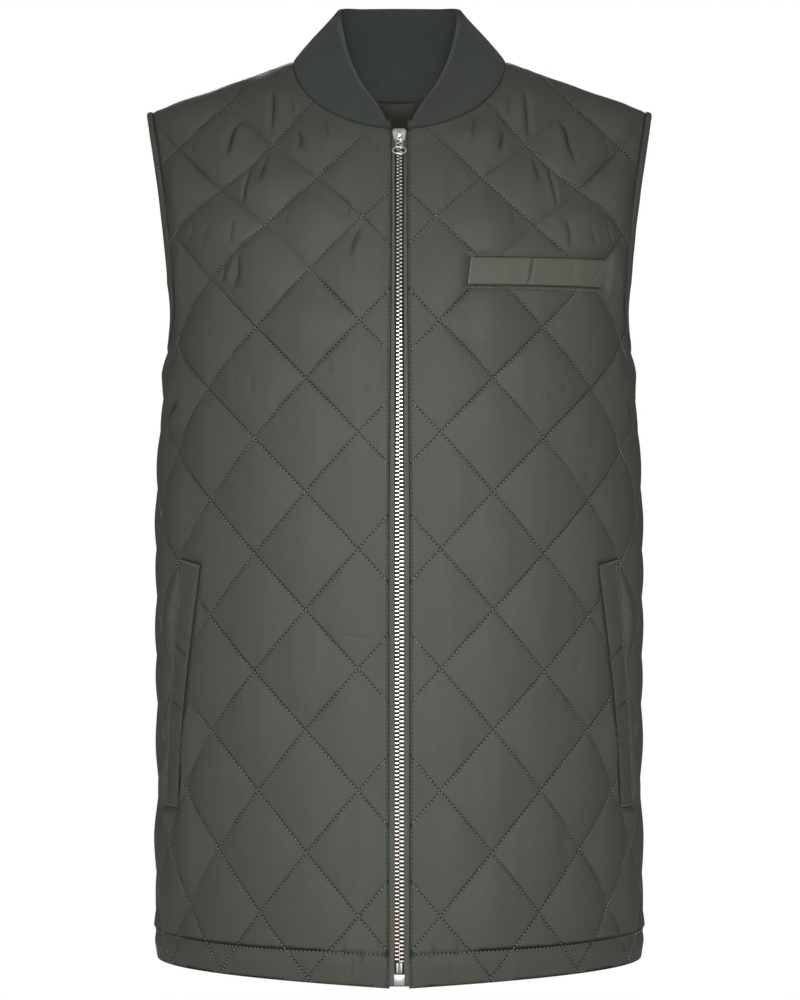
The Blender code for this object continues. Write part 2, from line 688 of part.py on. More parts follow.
def flat_solid(name, outline, holes, thick, material, place):
    """Plate of even thickness in its own XZ plane, its front at -Y, with holes through it."""
    outline = counter_clockwise(np.array(outline, float))
    rings = [counter_clockwise(np.array(hole, float)) for hole in holes]
    flat, faces = triangulate(outline, np.empty((0, 2)), rings)
    middles = np.array([flat[face].mean(axis=0) for face in faces])
    solid = np.ones(len(faces), bool)
    for ring in rings:
        solid &= ~is_inside(middles, ring)
    faces = [face for face, keep in zip(faces, solid) if keep]
    front = np.stack((flat[:, 0], np.full(len(flat), -thick / 2), flat[:, 1]), axis=1)
    under = len(flat)
    walls = []
    first = 0
    for ring, turn in [(outline, 1)] + [(ring, -1) for ring in rings]:
        for i in range(len(ring)):
            a, b = first + i, first + (i + 1) % len(ring)
            walls.append([b, a, under + a, under + b][::turn])
        first += len(ring)
    backs = [[under + i for i in reversed(face)] for face in faces]
    points = np.concatenate((front, front + (0.0, thick, 0.0)))
    return add_solid(name, points, faces + backs + walls, material, place)


def oval(width, height, centre_z, sides, start=0.0, end=2 * math.pi):
    full = math.isclose(end - start, 2 * math.pi)
    angles = np.linspace(start, end, sides, endpoint=not full)
    return np.stack((width / 2 * np.cos(angles), centre_z + height / 2 * np.sin(angles)), axis=1)


def zip_frame(z):
    """Placing at the zip: local X across, -Y out of the garment, Z up along the zip."""
    points, normals = zip_line(np.array((z,)))
    out = Vector(normals[0])
    across = Vector((1.0, 0.0, 0.0))
    up = across.cross(-out)
    turn = Matrix((across, -out, up)).transposed().to_4x4()
    return Matrix.Translation(Vector(points[0])) @ turn


def join_to(solid, others):
    """Unite other solids with one, and remove them."""
    for other in others:
        union = solid.modifiers.new("union", "BOOLEAN")
        union.operation = "UNION"
        union.object = other
    bpy.context.view_layer.update()
    shape = bpy.data.meshes.new_from_object(solid.evaluated_get(bpy.context.evaluated_depsgraph_get()))
    solid.modifiers.clear()
    solid.data = shape
    for other in others:
        bpy.data.objects.remove(other, do_unlink=True)


def box_outline(width, low, high):
    return [(-width / 2, low), (width / 2, low), (width / 2, high), (-width / 2, high)]


def zip_slider(name, place):
    """Cast slider: front and back plates joined by a neck, with a bridge for the pull."""
    half = SLIDER_LENGTH / 2
    front_y = -(PLATE_FRONT + PLATE_THICK / 2)
    back_y = -(PLATE_BACK - PLATE_THICK / 2)
    plate = [(-SLIDER_LOW_WIDTH / 2, -half), (SLIDER_LOW_WIDTH / 2, -half),
             (SLIDER_TOP_WIDTH / 2, half * 0.4), (SLIDER_TOP_WIDTH / 2 * 0.8, half),
             (-SLIDER_TOP_WIDTH / 2 * 0.8, half), (-SLIDER_TOP_WIDTH / 2, half * 0.4)]
    narrow = [(x * 0.86, z) for x, z in plate]
    front = flat_solid(name, plate, [], PLATE_THICK, METAL, place @ Matrix.Translation((0, front_y, 0)))
    back = flat_solid("slider_back", narrow, [], PLATE_THICK, METAL,
                      place @ Matrix.Translation((0, back_y, 0)))
    neck_thick = back_y - front_y
    neck = flat_solid("slider_neck", box_outline(0.003, 0.0012, half - 0.0004), [], neck_thick, METAL,
                      place @ Matrix.Translation((0, (front_y + back_y) / 2, 0)))
    arch_turn = Matrix.Rotation(-math.pi / 2, 4, "Z")
    outer = oval(BRIDGE_LENGTH, 2 * BRIDGE_HEIGHT, 0.0, 11, 0.0, math.pi)
    inner = oval(BRIDGE_LENGTH - 2 * BRIDGE_BAR, 2 * (BRIDGE_HEIGHT - BRIDGE_BAR), 0.0, 11, math.pi, 0.0)
    foot = 0.0005
    profile = np.concatenate(([(outer[0, 0], -foot)], outer, [(outer[-1, 0], -foot), (inner[0, 0], -foot)],
                              inner, [(inner[-1, 0], -foot)]))
    on_edge = Matrix.Rotation(math.pi / 2, 4, "X") @ arch_turn
    stand = place @ Matrix.Translation((0, -(PLATE_FRONT + PLATE_THICK), -BRIDGE_DROP)) @ on_edge
    bridge = flat_solid("slider_bridge", profile, [], BRIDGE_WIDTH, METAL, stand)
    join_to(front, [back, neck, bridge])
    return front


def zip_pull(name, place):
    """Loop pull: a crossbar and two legs that carry an oval finger ring."""
    ring_width, ring_height = PULL_RING
    bar = PULL_BAR / 2
    ring_z = -PULL_LEG - ring_height / 2 + PULL_BAR
    half = PULL_WIDTH / 2
    lower = oval(ring_width, ring_height, ring_z, 17, math.radians(140), math.radians(400))
    outline = np.concatenate(([(half, bar), (-half, bar)], lower))
    slot = [(-half + PULL_BAR, -PULL_LEG + PULL_BAR), (half - PULL_BAR, -PULL_LEG + PULL_BAR),
            (half - PULL_BAR, -bar), (-half + PULL_BAR, -bar)]
    hole = oval(ring_width - 2.4 * PULL_BAR, ring_height - 2.4 * PULL_BAR, ring_z, 16)
    pivot_y = -(PLATE_FRONT + PLATE_THICK + (BRIDGE_HEIGHT - BRIDGE_BAR) / 2)
    pivot = Matrix.Translation((0, pivot_y, -BRIDGE_DROP))
    tilt = Matrix.Rotation(PULL_TILT, 4, "X")
    return flat_solid(name, outline, [slot, hole], PULL_BAR, METAL, place @ pivot @ tilt)


def build():
    chest = chest_welt_chart()
    side = side_welt_chart()
    outline = front_outline()
    quilted_wall("front_left", FRONT, outline, [chest, side], False, 1.0)
    quilted_wall("front_right", FRONT, counter_clockwise(mirrored(outline)), [mirrored(side)], False, -1.0)
    quilted_wall("back", BACK, back_outline(), [], True, 1.0)
    collar("collar")
    welt("chest_welt", chest, 1)
    for label, sign in (("left", 1), ("right", -1)):
        welt("side_welt_" + label, side, sign)
        armhole_edge("armhole_edge_" + label, sign)

    inner = CHAIN_HALF_WIDTH + SEAM_GAP
    zip_strip("zip_tape_left", TAPE_TOP_Z, TAPE_BOTTOM_Z, lambda z: inner + 0 * z,
              lambda z: zip_edge(z) - SEAM_GAP, TAPE_THICK, TAPE)
    zip_strip("zip_tape_right", TAPE_TOP_Z, TAPE_BOTTOM_Z, lambda z: SEAM_GAP - zip_edge(z),
              lambda z: -inner + 0 * z, TAPE_THICK, TAPE)
    zip_strip("zip_chain", CHAIN_TOP_Z, CHAIN_BOTTOM_Z, lambda z: 0 * z - CHAIN_HALF_WIDTH,
              lambda z: 0 * z + CHAIN_HALF_WIDTH, CHAIN_THICK, METAL)
    pin_top = CHAIN_BOTTOM_Z - SEAM_GAP
    zip_strip("zip_pin_left", pin_top, PIN_BOTTOM_Z, lambda z: 0 * z + 0.0006, lambda z: 0 * z + 0.0022,
              0.0016, METAL)
    zip_strip("zip_pin_right", pin_top, PIN_BOTTOM_Z, lambda z: 0 * z - 0.0022, lambda z: 0 * z - 0.0006,
              0.0016, METAL)
    zip_strip("zip_box", BOX_TOP_Z, BOX_BOTTOM_Z, lambda z: 0 * z - BOX_HALF_WIDTH,
              lambda z: 0 * z + BOX_HALF_WIDTH, BOX_THICK, METAL)
    place = zip_frame(SLIDER_Z)
    zip_slider("zip_slider", place)
    zip_pull("zip_pull", place)


build()
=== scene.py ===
"""Looks of a diamond-quilted gilet with a rib-knit collar and a metal front zip."""

import math

import bpy
import numpy as np
from mathutils import Matrix, Vector
from mathutils.geometry import delaunay_2d_cdt


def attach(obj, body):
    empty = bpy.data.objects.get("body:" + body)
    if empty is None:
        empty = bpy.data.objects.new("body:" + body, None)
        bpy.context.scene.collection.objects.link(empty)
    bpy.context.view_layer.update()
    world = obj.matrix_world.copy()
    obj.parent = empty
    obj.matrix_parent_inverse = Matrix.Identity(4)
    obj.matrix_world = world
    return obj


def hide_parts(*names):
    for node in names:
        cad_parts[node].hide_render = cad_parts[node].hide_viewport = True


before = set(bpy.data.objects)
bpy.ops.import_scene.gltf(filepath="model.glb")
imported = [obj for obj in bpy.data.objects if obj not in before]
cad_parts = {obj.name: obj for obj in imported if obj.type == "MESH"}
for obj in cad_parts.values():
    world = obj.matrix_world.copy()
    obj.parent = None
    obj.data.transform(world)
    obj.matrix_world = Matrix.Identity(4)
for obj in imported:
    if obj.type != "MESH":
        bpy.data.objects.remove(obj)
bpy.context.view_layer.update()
scene = bpy.context.scene

# Camera of a catalogue picture: level with the belly, three metres in front, with a
# long lens, so that the garment fills the upright frame.
camera_place = (0.0005, -3.0, -0.340)
camera_lens = 139.2
camera_data = bpy.data.cameras.new("camera")
camera_data.lens = camera_lens
camera_data.sensor_width = 36.0
camera = bpy.data.objects.new("camera", camera_data)
camera.location = camera_place
camera.rotation_euler = (math.pi / 2, 0.0, 0.0)
scene.collection.objects.link(camera)
scene.camera = camera

# Studio: a pale floor below the hem, a white room, soft boxes above the camera and at
# both sides, and narrow ones up the middle for the metal. The garment hangs in the air,
# as on an unseen form.
floor_z = -1.05
floor_half = 2.2
room_strength = 0.16
scene.view_settings.view_transform = "Standard"


def give(tree, node, given):
    """Sets a node's inputs, each to a value or to the output of another node."""
    for socket, value in given.items():
        if isinstance(value, bpy.types.NodeSocket):
            tree.links.new(value, node.inputs[socket])
        else:
            node.inputs[socket].default_value = value


def add_node(tree, kind, given=None, **settings):
    """New node of a tree, with its settings and what its inputs are given."""
    node = tree.nodes.new(kind)
    for name, setting in settings.items():
        setattr(node, name, setting)
    give(tree, node, given or {})
    return node


def new_material(name):
    """New material, its tree and its shader."""
    material = bpy.data.materials.new(name)
    material.use_nodes = True
    return material, material.node_tree, material.node_tree.nodes["Principled BSDF"]


floor_mesh = bpy.data.meshes.new("floor")
floor_mesh.from_pydata(
    [(-floor_half, -floor_half, floor_z), (floor_half, -floor_half, floor_z),
     (floor_half, floor_half, floor_z), (-floor_half, floor_half, floor_z)],
    [], [[0, 1, 2, 3]])
floor = bpy.data.objects.new("floor", floor_mesh)
scene.collection.objects.link(floor)
floor_paint, floor_tree, floor_shader = new_material("pale_floor")
give(floor_tree, floor_shader, {"Base Color": (0.80, 0.80, 0.79, 1.0), "Roughness": 0.8})
floor_mesh.materials.append(floor_paint)

room = bpy.data.worlds.new("white_room")
room.use_nodes = True
room_tree = room.node_tree
room_light = room_tree.nodes["Background"]
give(room_tree, room_light, {"Strength": room_strength, "Color": (1.0, 1.0, 1.0, 1.0)})
room_seen = add_node(room_tree, "ShaderNodeBackground", {"Color": (1.0, 1.0, 1.0, 1.0)})
room_path = add_node(room_tree, "ShaderNodeLightPath")
room_mix = add_node(room_tree, "ShaderNodeMixShader", {
    "Fac": room_path.outputs["Is Camera Ray"],
    1: room_light.outputs["Background"], 2: room_seen.outputs["Background"]})
give(room_tree, room_tree.nodes["World Output"], {"Surface": room_mix.outputs["Shader"]})
scene.world = room


def soft_box(name, place, aim, size, watts, spread=180.0):
    """Soft light of a width and height that faces a point, its beam narrowed to a spread in degrees."""
    data = bpy.data.lights.new(name, "AREA")
    data.shape = "RECTANGLE"
    data.size, data.size_y = size
    data.energy = watts
    data.spread = math.radians(spread)
    light = bpy.data.objects.new(name, data)
    light.location = place
    light.rotation_euler = (Vector(aim) - Vector(place)).to_track_quat("-Z", "Y").to_euler()
    scene.collection.objects.link(light)


soft_box("key_light", (0.0, -3.2, -0.03), (0.0, 0.0, -0.39), (1.2, 0.8), 2.45, 31.0)
soft_box("strip_light", (0.0, -3.05, -0.62), (0.0, 0.0, -0.50), (0.3, 1.0), 5.2)
soft_box("high_light", (0.0, -2.2, 1.25), (0.0, -0.12, -0.16), (0.30, 1.3), 2.3)
soft_box("top_light", (0.0, -1.15, 1.80), (0.0, -0.10, -0.08), (0.40, 1.2), 2.8)
soft_box("left_fill", (-2.4, -1.8, -0.2), (0.0, 0.0, -0.38), (1.2, 1.2), 2.5)
soft_box("right_fill", (2.4, -1.8, -0.2), (0.0, 0.0, -0.38), (1.2, 1.2), 2.5)
soft_box("back_light", (-0.2, 2.9, 0.5), (0.0, 0.0, -0.36), (1.0, 1.4), 62.0)

# Left and right fronts: smooth woven shell, thin wadding and a plain lining, quilted
# together in diamonds by single rows of stitches. The hem is turned up once. The slack
# shell puckers along the stitches and falls in short creases from the shoulders.
neck_half_width = 0.082
front_neck_drop = 0.060
back_neck_drop = 0.024
shoulder_tip_x = 0.196
shoulder_drop = 0.041
shoulder_roll = 0.150
shoulder_slope = shoulder_drop / (shoulder_tip_x - neck_half_width)
armhole_low_x = 0.1775
armhole_low_z = -0.175
armhole_bottom_z = -0.222
armhole_sweep = 1.4
armhole_edge_width = 0.005
seam_gap = 0.0003
hem_z = -0.698
hem_depth = 0.025
hem_dip = 0.0034               # how far the hem hangs lower at the middle of the front
hem_rise = 0.0090              # and rises from there to the side
zip_edge_top = 0.0054
zip_edge_bottom = 0.0073
topstitch_in = 0.0020          # topstitch to the folded edge beside the zip
wall = 0.002
puff_height = 0.0034
puff_rise = 0.0007             # how near its stitches the wadding rises
puff_rise_share = 0.20
puff_power = 0.90
side_puff = 0.80               # how much fuller the diamonds are at the sides
chest_puff = 0.80              # and under the shoulders
edge_fade = 0.020
shoulder_fade = 0.090
zip_fade = 0.006
hem_fade = 0.0035
welt_fade = 0.003
hem_tuck = 0.0016              # how far the hem's lower edge turns in
press_depth = 0.0004
welt_margin = 0.0008
pucker_height = 0.0008
sag_height = 0.0007
painted_shade_reach = 0.004           # how far from a line of stitches its painted shade on the cloth reaches
crossing_sag = 0.0088          # how far the crossings hang lower between neck and armhole
crossing_sag_at, crossing_sag_reach = (0.12, -0.07), (0.05, 0.06)
side_puff_at, side_puff_reach = 0.185, 0.035
sag_swing = (0.030, 0.050)     # length of the wadding's unevenness across and along the cloth
zip_puff, zip_puff_reach = 0.3, 0.06
hem_puff, hem_puff_fade = 0.7, 0.012
hem_stitch_rise = 0.0028       # how much narrower the turned-up hem is towards the side
# Painted shade: a dark band just above the hem's stitches, where the puffs overhang them, and dark lines at
# the hem's lower edge and at the folded edge by the zip
hem_shade_rise, hem_shade_width = 0.0008, 0.0006
hem_edge_shade, zip_edge_shade = 1.6, 0.85
zip_edge_slack = 0.0005
zip_fold = 0.0008              # height of the folded edge beside the zip
edge_dip, edge_dip_width = 0.0006, 0.0010
faint_gap = 0.0007
crease_fade = 0.010
pucker_length, pucker_bank = 0.0055, 0.030
pucker_reach, pucker_clear = 0.010, 0.002
pucker_least = 0.30            # share of the puckers that is left low on the body
# Where a change sets in and over what distance it happens
chest_from = (-0.30, 0.12)
slack_from = (-0.42, 0.32)
hem_hang_from = (0.045, 0.02)
zip_widens_from = (0.12, 0.26)
faint_out, faint_below, faint_neck = (0.05, 0.03), (-0.215, 0.05), (-0.118, 0.02)
front, back = 0, 1

# Level sections: height, half width, front depth, back depth, squareness
body_sections = np.array((
    (-0.720, 0.1905, 0.146, 0.128, 2.15),
    (-0.660, 0.1880, 0.147, 0.127, 2.20),
    (-0.560, 0.1858, 0.148, 0.125, 2.35),
    (-0.430, 0.1862, 0.149, 0.123, 2.40),
    (-0.320, 0.1852, 0.150, 0.123, 2.40),
    (-0.260, 0.1815, 0.149, 0.124, 2.40),
    (-0.210, 0.1785, 0.146, 0.125, 2.38),
    (-0.160, 0.1870, 0.137, 0.124, 2.30),
    (-0.100, 0.1990, 0.120, 0.117, 2.20),
    (-0.040, 0.2130, 0.101, 0.101, 2.10),
    (0.030, 0.2220, 0.088, 0.084, 2.10),
))
# Rows of quilting crossings: height, number, fall towards the side
quilt_rows = np.array((
    (-0.7410, 8.0, -0.004),
    (-0.6475, 7.0, -0.003),
    (-0.5545, 6.0, 0.003),
    (-0.4642, 5.0, 0.008),
    (-0.3757, 4.0, 0.011),
    (-0.2895, 3.0, 0.013),
    (-0.2070, 2.0, 0.013),
    (-0.1290, 1.0, 0.009),
    (-0.0640, 0.0, 0.005),
    (0.0100, -1.0, 0.003),
))
quilt_rows_by_number = quilt_rows[::-1][:, [1, 0, 2]]
# Columns of crossings: height, how far they draw together, how far they spread at the sides
quilt_gather_rows = np.array((
    (-0.720, 1.005, -0.070),
    (-0.600, 1.010, -0.070),
    (-0.550, 1.012, -0.050),
    (-0.500, 1.016, -0.005),
    (-0.420, 1.016, 0.000),
    (-0.340, 1.014, 0.000),
    (-0.290, 1.010, 0.025),
    (-0.250, 1.000, 0.070),
    (-0.210, 0.982, 0.085),
    (-0.170, 0.955, 0.090),
    (-0.130, 0.910, 0.085),
    (-0.070, 0.862, 0.085),
    (0.000, 0.830, 0.080),
))
quilt_first_column = (0.030, 0.0)
quilt_column_width = 0.039
quilt_side = 0.180
quilt_pitch = 0.0584
quilt_steps = 26
quilt_crowding = 1.45          # mesh points crowd towards the stitch lines
lining_steps = 4
outline_step = 0.004


def smooth_column(table, column, at):
    """A table's column as a smooth curve of its first column."""
    xs = table[:, 0]
    ys = table[:, column]
    slopes = np.gradient(ys, xs)
    i = np.clip(np.searchsorted(xs, at) - 1, 0, len(xs) - 2)
    h = xs[i + 1] - xs[i]
    u = np.clip((at - xs[i]) / h, 0.0, 1.0)
    start = ys[i] * (1 + 2 * u) * (1 - u) ** 2 + slopes[i] * h * u * (1 - u) ** 2
    end = ys[i + 1] * u ** 2 * (3 - 2 * u) - slopes[i + 1] * h * u ** 2 * (1 - u)
    return start + end


def smoothstep(value):
    share = np.clip(value, 0.0, 1.0)
    return share * share * (3 - 2 * share)


def unit(vectors):
    """Vectors of length one in the same directions."""
    return vectors / np.linalg.norm(vectors, axis=-1, keepdims=True)


def ramp(value, start, width):
    """Smooth rise from 0 to 1 that begins at start."""
    return smoothstep((value - start) / width)


form_z = np.linspace(-0.740, 0.040, 391)
form_s = np.linspace(0.0, 0.380, 381)


def body_form(depth_column):
    """One half of the body: x and y by height and distance from the middle, and the side's distance."""
    angle = np.linspace(0.0, math.pi / 2, 900)
    half = smooth_column(body_sections, 1, form_z)
    depth = smooth_column(body_sections, depth_column, form_z)
    power = smooth_column(body_sections, 4, form_z)
    across = np.empty((len(form_z), len(form_s)))
    forward = np.empty_like(across)
    side = np.empty(len(form_z))
    for i in range(len(form_z)):
        x = half[i] * np.sin(angle) ** (2 / power[i])
        y = depth[i] * np.cos(angle) ** (2 / power[i])
        arc = np.concatenate(([0.0], np.cumsum(np.hypot(np.diff(x), np.diff(y)))))
        side[i] = arc[-1]
        across[i] = np.interp(form_s, arc, x)
        forward[i] = np.interp(form_s, arc, y) - np.clip(form_s - side[i], 0.0, None)
    return across, forward, side


body_forms = (body_form(2), body_form(3))


def form_at(table, s, z):
    i = np.clip((z - form_z[0]) / (form_z[1] - form_z[0]), 0.0, len(form_z) - 1.001)
    j = np.clip(s / form_s[1], 0.0, len(form_s) - 1.001)
    low, left = i.astype(int), j.astype(int)
    u, v = i - low, j - left
    lower = table[low, left] * (1 - v) + table[low, left + 1] * v
    upper = table[low + 1, left] * (1 - v) + table[low + 1, left + 1] * v
    return lower * (1 - u) + upper * u


def ridge_z(x):
    """Height of the shoulder seams at a distance from the middle, rounded off across the neck."""
    straight = neck_half_width - x
    rounded = (neck_half_width ** 2 - x ** 2) / (2 * neck_half_width)
    return shoulder_slope * np.where(x > neck_half_width, straight, rounded)


def cloth_height(x, z):
    """Height along the cloth: level height, unrolled over the shoulder."""
    fall = np.clip((ridge_z(x) - z) / shoulder_roll, 0.0, 1.0)
    lean = np.pi / 2 - np.arccos(1 - fall)
    return np.where(fall < 1.0, ridge_z(x) - shoulder_roll * (1 - lean), z)


def side_distance(z, face):
    return np.interp(z, form_z, body_forms[face][2])


def chart_of(x, z, face):
    """Distance round from the middle and height along the cloth, from a front view's x and z."""
    x = np.atleast_1d(np.asarray(x, float))
    z = np.broadcast_to(np.asarray(z, float), x.shape)
    i = np.clip((z - form_z[0]) / (form_z[1] - form_z[0]), 0.0, len(form_z) - 1.001)
    low = i.astype(int)
    u = (i - low)[:, None]
    across = body_forms[face][0]
    level = across[low] * (1 - u) + across[low + 1] * u
    ends = side_distance(z, face)
    s = np.array([np.interp(at, row, form_s) for at, row in zip(x, level)])
    return np.stack((np.minimum(s, ends), cloth_height(x, z)), axis=1)


def cloth_points(chart, face):
    """Points of the stitched face from chart points."""
    across, forward, _ = body_forms[face]
    s = np.abs(chart[:, 0])
    t = chart[:, 1]
    z = t.copy()
    for _ in range(10):
        x = form_at(across, s, z)
        turn = np.clip(np.pi / 2 - (t - ridge_z(x) + shoulder_roll) / shoulder_roll, 0.0, np.pi / 2)
        z = np.where(turn < np.pi / 2, ridge_z(x) - shoulder_roll * (1 - np.cos(turn)), t)
    y = form_at(forward, s, z) * np.sin(turn)
    return np.stack((x * np.sign(chart[:, 0]), y * (1.0 if face == back else -1.0), z), axis=1)


def cloth_frame(chart, face):
    """Points of the stitched face with normals out of the garment."""
    reach = 0.0015
    along = cloth_points(chart + (reach, 0.0), face) - cloth_points(chart - (reach, 0.0), face)
    up = cloth_points(chart + (0.0, reach), face) - cloth_points(chart - (0.0, reach), face)
    normals = np.cross(along, up) * (-1.0 if face == back else 1.0)
    return cloth_points(chart, face), unit(normals)


def quilt_gather(base, z):
    """How far a column of crossings is drawn together or spread at a height."""
    spread = np.minimum(np.abs(base) / quilt_side, 1.15) ** 2
    return smooth_column(quilt_gather_rows, 1, z) + smooth_column(quilt_gather_rows, 2, z) * spread


def quilt_sag(s, z):
    """How far the crossings hang lower between the neck and the armhole."""
    out = (np.abs(s) - crossing_sag_at[0]) / crossing_sag_reach[0]
    up = (z - crossing_sag_at[1]) / crossing_sag_reach[1]
    return crossing_sag * np.exp(-out ** 2 - up ** 2)


def faint_quilting(s, t):
    """How far the lines that fall towards the zip fade out, below the shoulder and at the neck."""
    return ramp(t, *faint_below) * np.maximum(ramp(np.abs(s), *faint_out), ramp(t, *faint_neck))


def quilt_chart(column, row, face):
    """Chart points of the quilting's columns and rows, and whether they lie below the shoulder seam."""
    s = quilt_first_column[face] + column * quilt_column_width
    z = smooth_column(quilt_rows_by_number, 1, row)
    z = z - smooth_column(quilt_rows_by_number, 2, row) * (s / quilt_side) ** 2
    s = s * quilt_gather(s, z)
    z = z - quilt_sag(s, z)
    x = form_at(body_forms[face][0], np.abs(s), z)
    return np.stack((s, cloth_height(x, z)), axis=1), ridge_z(x) - z > 0.002


def quilt_place(s, z, face):
    """Row and column of the quilting at a point of the cloth."""
    even_z = z
    for _ in range(8):
        even_z = z + quilt_sag(s, even_z)
    base = np.abs(s)
    for _ in range(8):
        base = np.abs(s) / quilt_gather(base, even_z)
    sink = (base / quilt_side) ** 2
    row = smooth_column(quilt_rows, 1, even_z)
    for _ in range(4):
        row = smooth_column(quilt_rows, 1, even_z + sink * smooth_column(quilt_rows_by_number, 2, row))
    return row, (base - quilt_first_column[face]) / quilt_column_width


def even_line(start, end, step):
    """Points from start up to, but not including, end."""
    start, end = np.asarray(start, float), np.asarray(end, float)
    count = max(1, round(float(np.linalg.norm(end - start)) / step))
    return start + (end - start) * (np.arange(count) / count)[:, None]


def neck_chart(face, stations=61):
    """Neckline of one half, from the shoulder seam to the middle."""
    drop = front_neck_drop if face == front else back_neck_drop
    low = math.asin(zip_edge_top / neck_half_width) if face == front else 0.0
    swing = np.linspace(math.pi / 2, low, stations)
    return chart_of(neck_half_width * np.sin(swing), -drop * np.cos(swing), face)


def armhole_chart(face, inset, down=44, around=18):
    """Armhole of one half, from the shoulder seam to the side, moved into the cloth by inset."""
    tip = shoulder_tip_x - inset
    z = ridge_z(tip) + (armhole_low_z - ridge_z(tip)) * np.linspace(0.0, 1.0, down) ** 1.4
    rise = np.clip((z - armhole_low_z) / (ridge_z(shoulder_tip_x) - armhole_low_z), 0.0, None)
    x = armhole_low_x + (shoulder_tip_x - armhole_low_x) * rise ** armhole_sweep - inset
    x[0] = tip
    edge = chart_of(x, z, face)
    bottom = armhole_bottom_z - inset
    swing = np.linspace(0.0, math.pi / 2, around + 1)[1:]
    run = side_distance(bottom, face) - edge[-1, 0]
    curve = np.stack((run * (1 - np.cos(swing)), (bottom - armhole_low_z) * np.sin(swing)), axis=1)
    return np.concatenate((edge, edge[-1] + curve))


def hem_height(s, face):
    """Height of the hem's lower edge, which hangs lowest at the middle of the front."""
    share = np.abs(s) / side_distance(hem_z, face)
    if face == back:
        return hem_z + (hem_rise - hem_dip) * share ** 2
    return hem_z - hem_dip + hem_rise * (1 - (1 - share) ** 2)


def hem_line(s, face):
    """Height of the stitches that hold the turned-up hem."""
    share = np.abs(s) / side_distance(hem_z, face)
    return hem_height(s, face) + hem_depth - hem_stitch_rise * smoothstep(2 * share)


def half_outline(face):
    """Outline of a half body, from the neckline's middle over the shoulder and side to the hem's middle."""
    neck = neck_chart(face)[::-1]
    armhole = armhole_chart(face, armhole_edge_width + seam_gap)
    shoulder_end = (shoulder_tip_x - armhole_edge_width, 0.0)
    shoulder_x = even_line((neck_half_width, 0.0), shoulder_end, outline_step)[1:, 0]
    shoulder = chart_of(shoulder_x, ridge_z(shoulder_x), face)
    corner_s = float(side_distance(hem_z, face))
    side_z = even_line((0.0, armhole[-1, 1]), (0.0, hem_height(corner_s, face)), outline_step)[1:, 1]
    side = np.stack((side_distance(side_z, face), side_z), axis=1)
    middle_s = zip_edge_bottom if face == front else 0.0
    hem_s = even_line((corner_s, 0.0), (middle_s, 0.0), outline_step)[:, 0]
    hem = np.stack((hem_s, hem_height(hem_s, face)), axis=1)
    middle = (middle_s, hem_height(middle_s, face))
    return np.concatenate((neck, shoulder, armhole, side, hem, [middle]))


def mirrored(chart):
    return chart[::-1] * (-1.0, 1.0)


def distance_to(points, ring, closed=True):
    """Distance of chart points from a line of chart points."""
    nearest = np.full(len(points), 9.0)
    ends = np.roll(ring, -1, axis=0)
    for start, end in list(zip(ring, ends))[:None if closed else -1]:
        run = end - start
        rel = points - start
        share = np.clip(rel @ run / (run @ run), 0.0, 1.0)
        gap = rel - share[:, None] * run
        nearest = np.minimum(nearest, gap[:, 0] ** 2 + gap[:, 1] ** 2)
    return np.sqrt(nearest)


def is_inside(points, ring):
    inside = np.zeros(len(points), bool)
    x, y = points.T
    for (x0, y0), (x1, y1) in zip(ring, np.roll(ring, -1, axis=0)):
        if y0 != y1:
            inside ^= ((y0 > y) != (y1 > y)) & (x < x0 + (y - y0) * (x1 - x0) / (y1 - y0))
    return inside


def welt_ring(corners, margin):
    centre = corners.mean(axis=0)
    return corners + np.sign(corners - centre) * margin


uneven_size = 128
uneven_table = np.random.default_rng(7).uniform(-1.0, 1.0, (uneven_size, uneven_size))


def uneven(u, v):
    """Smooth unevenness between -1 and 1 over a plane, one swing to each unit."""
    i, j = np.floor(u).astype(int), np.floor(v).astype(int)
    p, q = smoothstep(u - i), smoothstep(v - j)
    i0, i1, j0, j1 = (at % uneven_size for at in (i, i + 1, j, j + 1))
    low = uneven_table[i0, j0] * (1 - p) + uneven_table[i1, j0] * p
    high = uneven_table[i0, j1] * (1 - p) + uneven_table[i1, j1] * p
    return low * (1 - q) + high * q


# Creases, listed in tenths of a millimetre: half width, depth, and the x and z of points from one end to the
# other
left_creases = (
    (20, 26, ((935, -295), (955, -485), (975, -690))),
    (24, 30, ((1210, -530), (1255, -610), (1270, -740), (1315, -905))),
    (14, 24, ((1115, -905), (1140, -1050), (1185, -1225))),
    (20, 18, ((1000, -835), (1020, -925), (1035, -1045))),
    (24, 20, ((770, -615), (760, -715), (745, -810))),
    (14, 12, ((565, -485), (550, -630), (540, -775))),
    (22, 13, ((825, -335), (815, -515))),
    (18, 16, ((1225, -1295), (1260, -1425), (1265, -1515))),
    (14, 20, ((1535, -1325), (1555, -1390), (1585, -1475))),
    (20, 9, ((1400, -1375), (1455, -1515))),
    (14, 10, ((1535, -625), (1575, -760))),
    (14, 16, ((1325, -420), (1380, -465))),
    (16, 14, ((1440, -340), (1535, -350))),
    (24, 9, ((840, -1230), (850, -1375))),
    (24, 8, ((1100, -2575), (1110, -2680))),
    (26, 10, ((1190, -2515), (1215, -2620))),
    (22, 20, ((1645, -2395), (1715, -2495), (1800, -2610))),
    (34, 26, ((1680, -2675), (1740, -2775))),
    (30, 7, ((1125, -3525), (1075, -3695))),
    (26, 7, ((1380, -3175), (1390, -3280))),
    (12, 3, ((150, -4410), (370, -4430))),
    (26, 7, ((1290, -4680), (1350, -4560))),
    (28, 6, ((1180, -5860), (1220, -6060))),
    (16, 9, ((250, -6660), (265, -6790))),
    (16, 10, ((440, -6650), (425, -6800))),
    (16, 9, ((395, -6790), (370, -6900))),
    (18, 9, ((1640, -6640), (1665, -6770))),
    (18, 9, ((1690, -6710), (1715, -6840))),
)
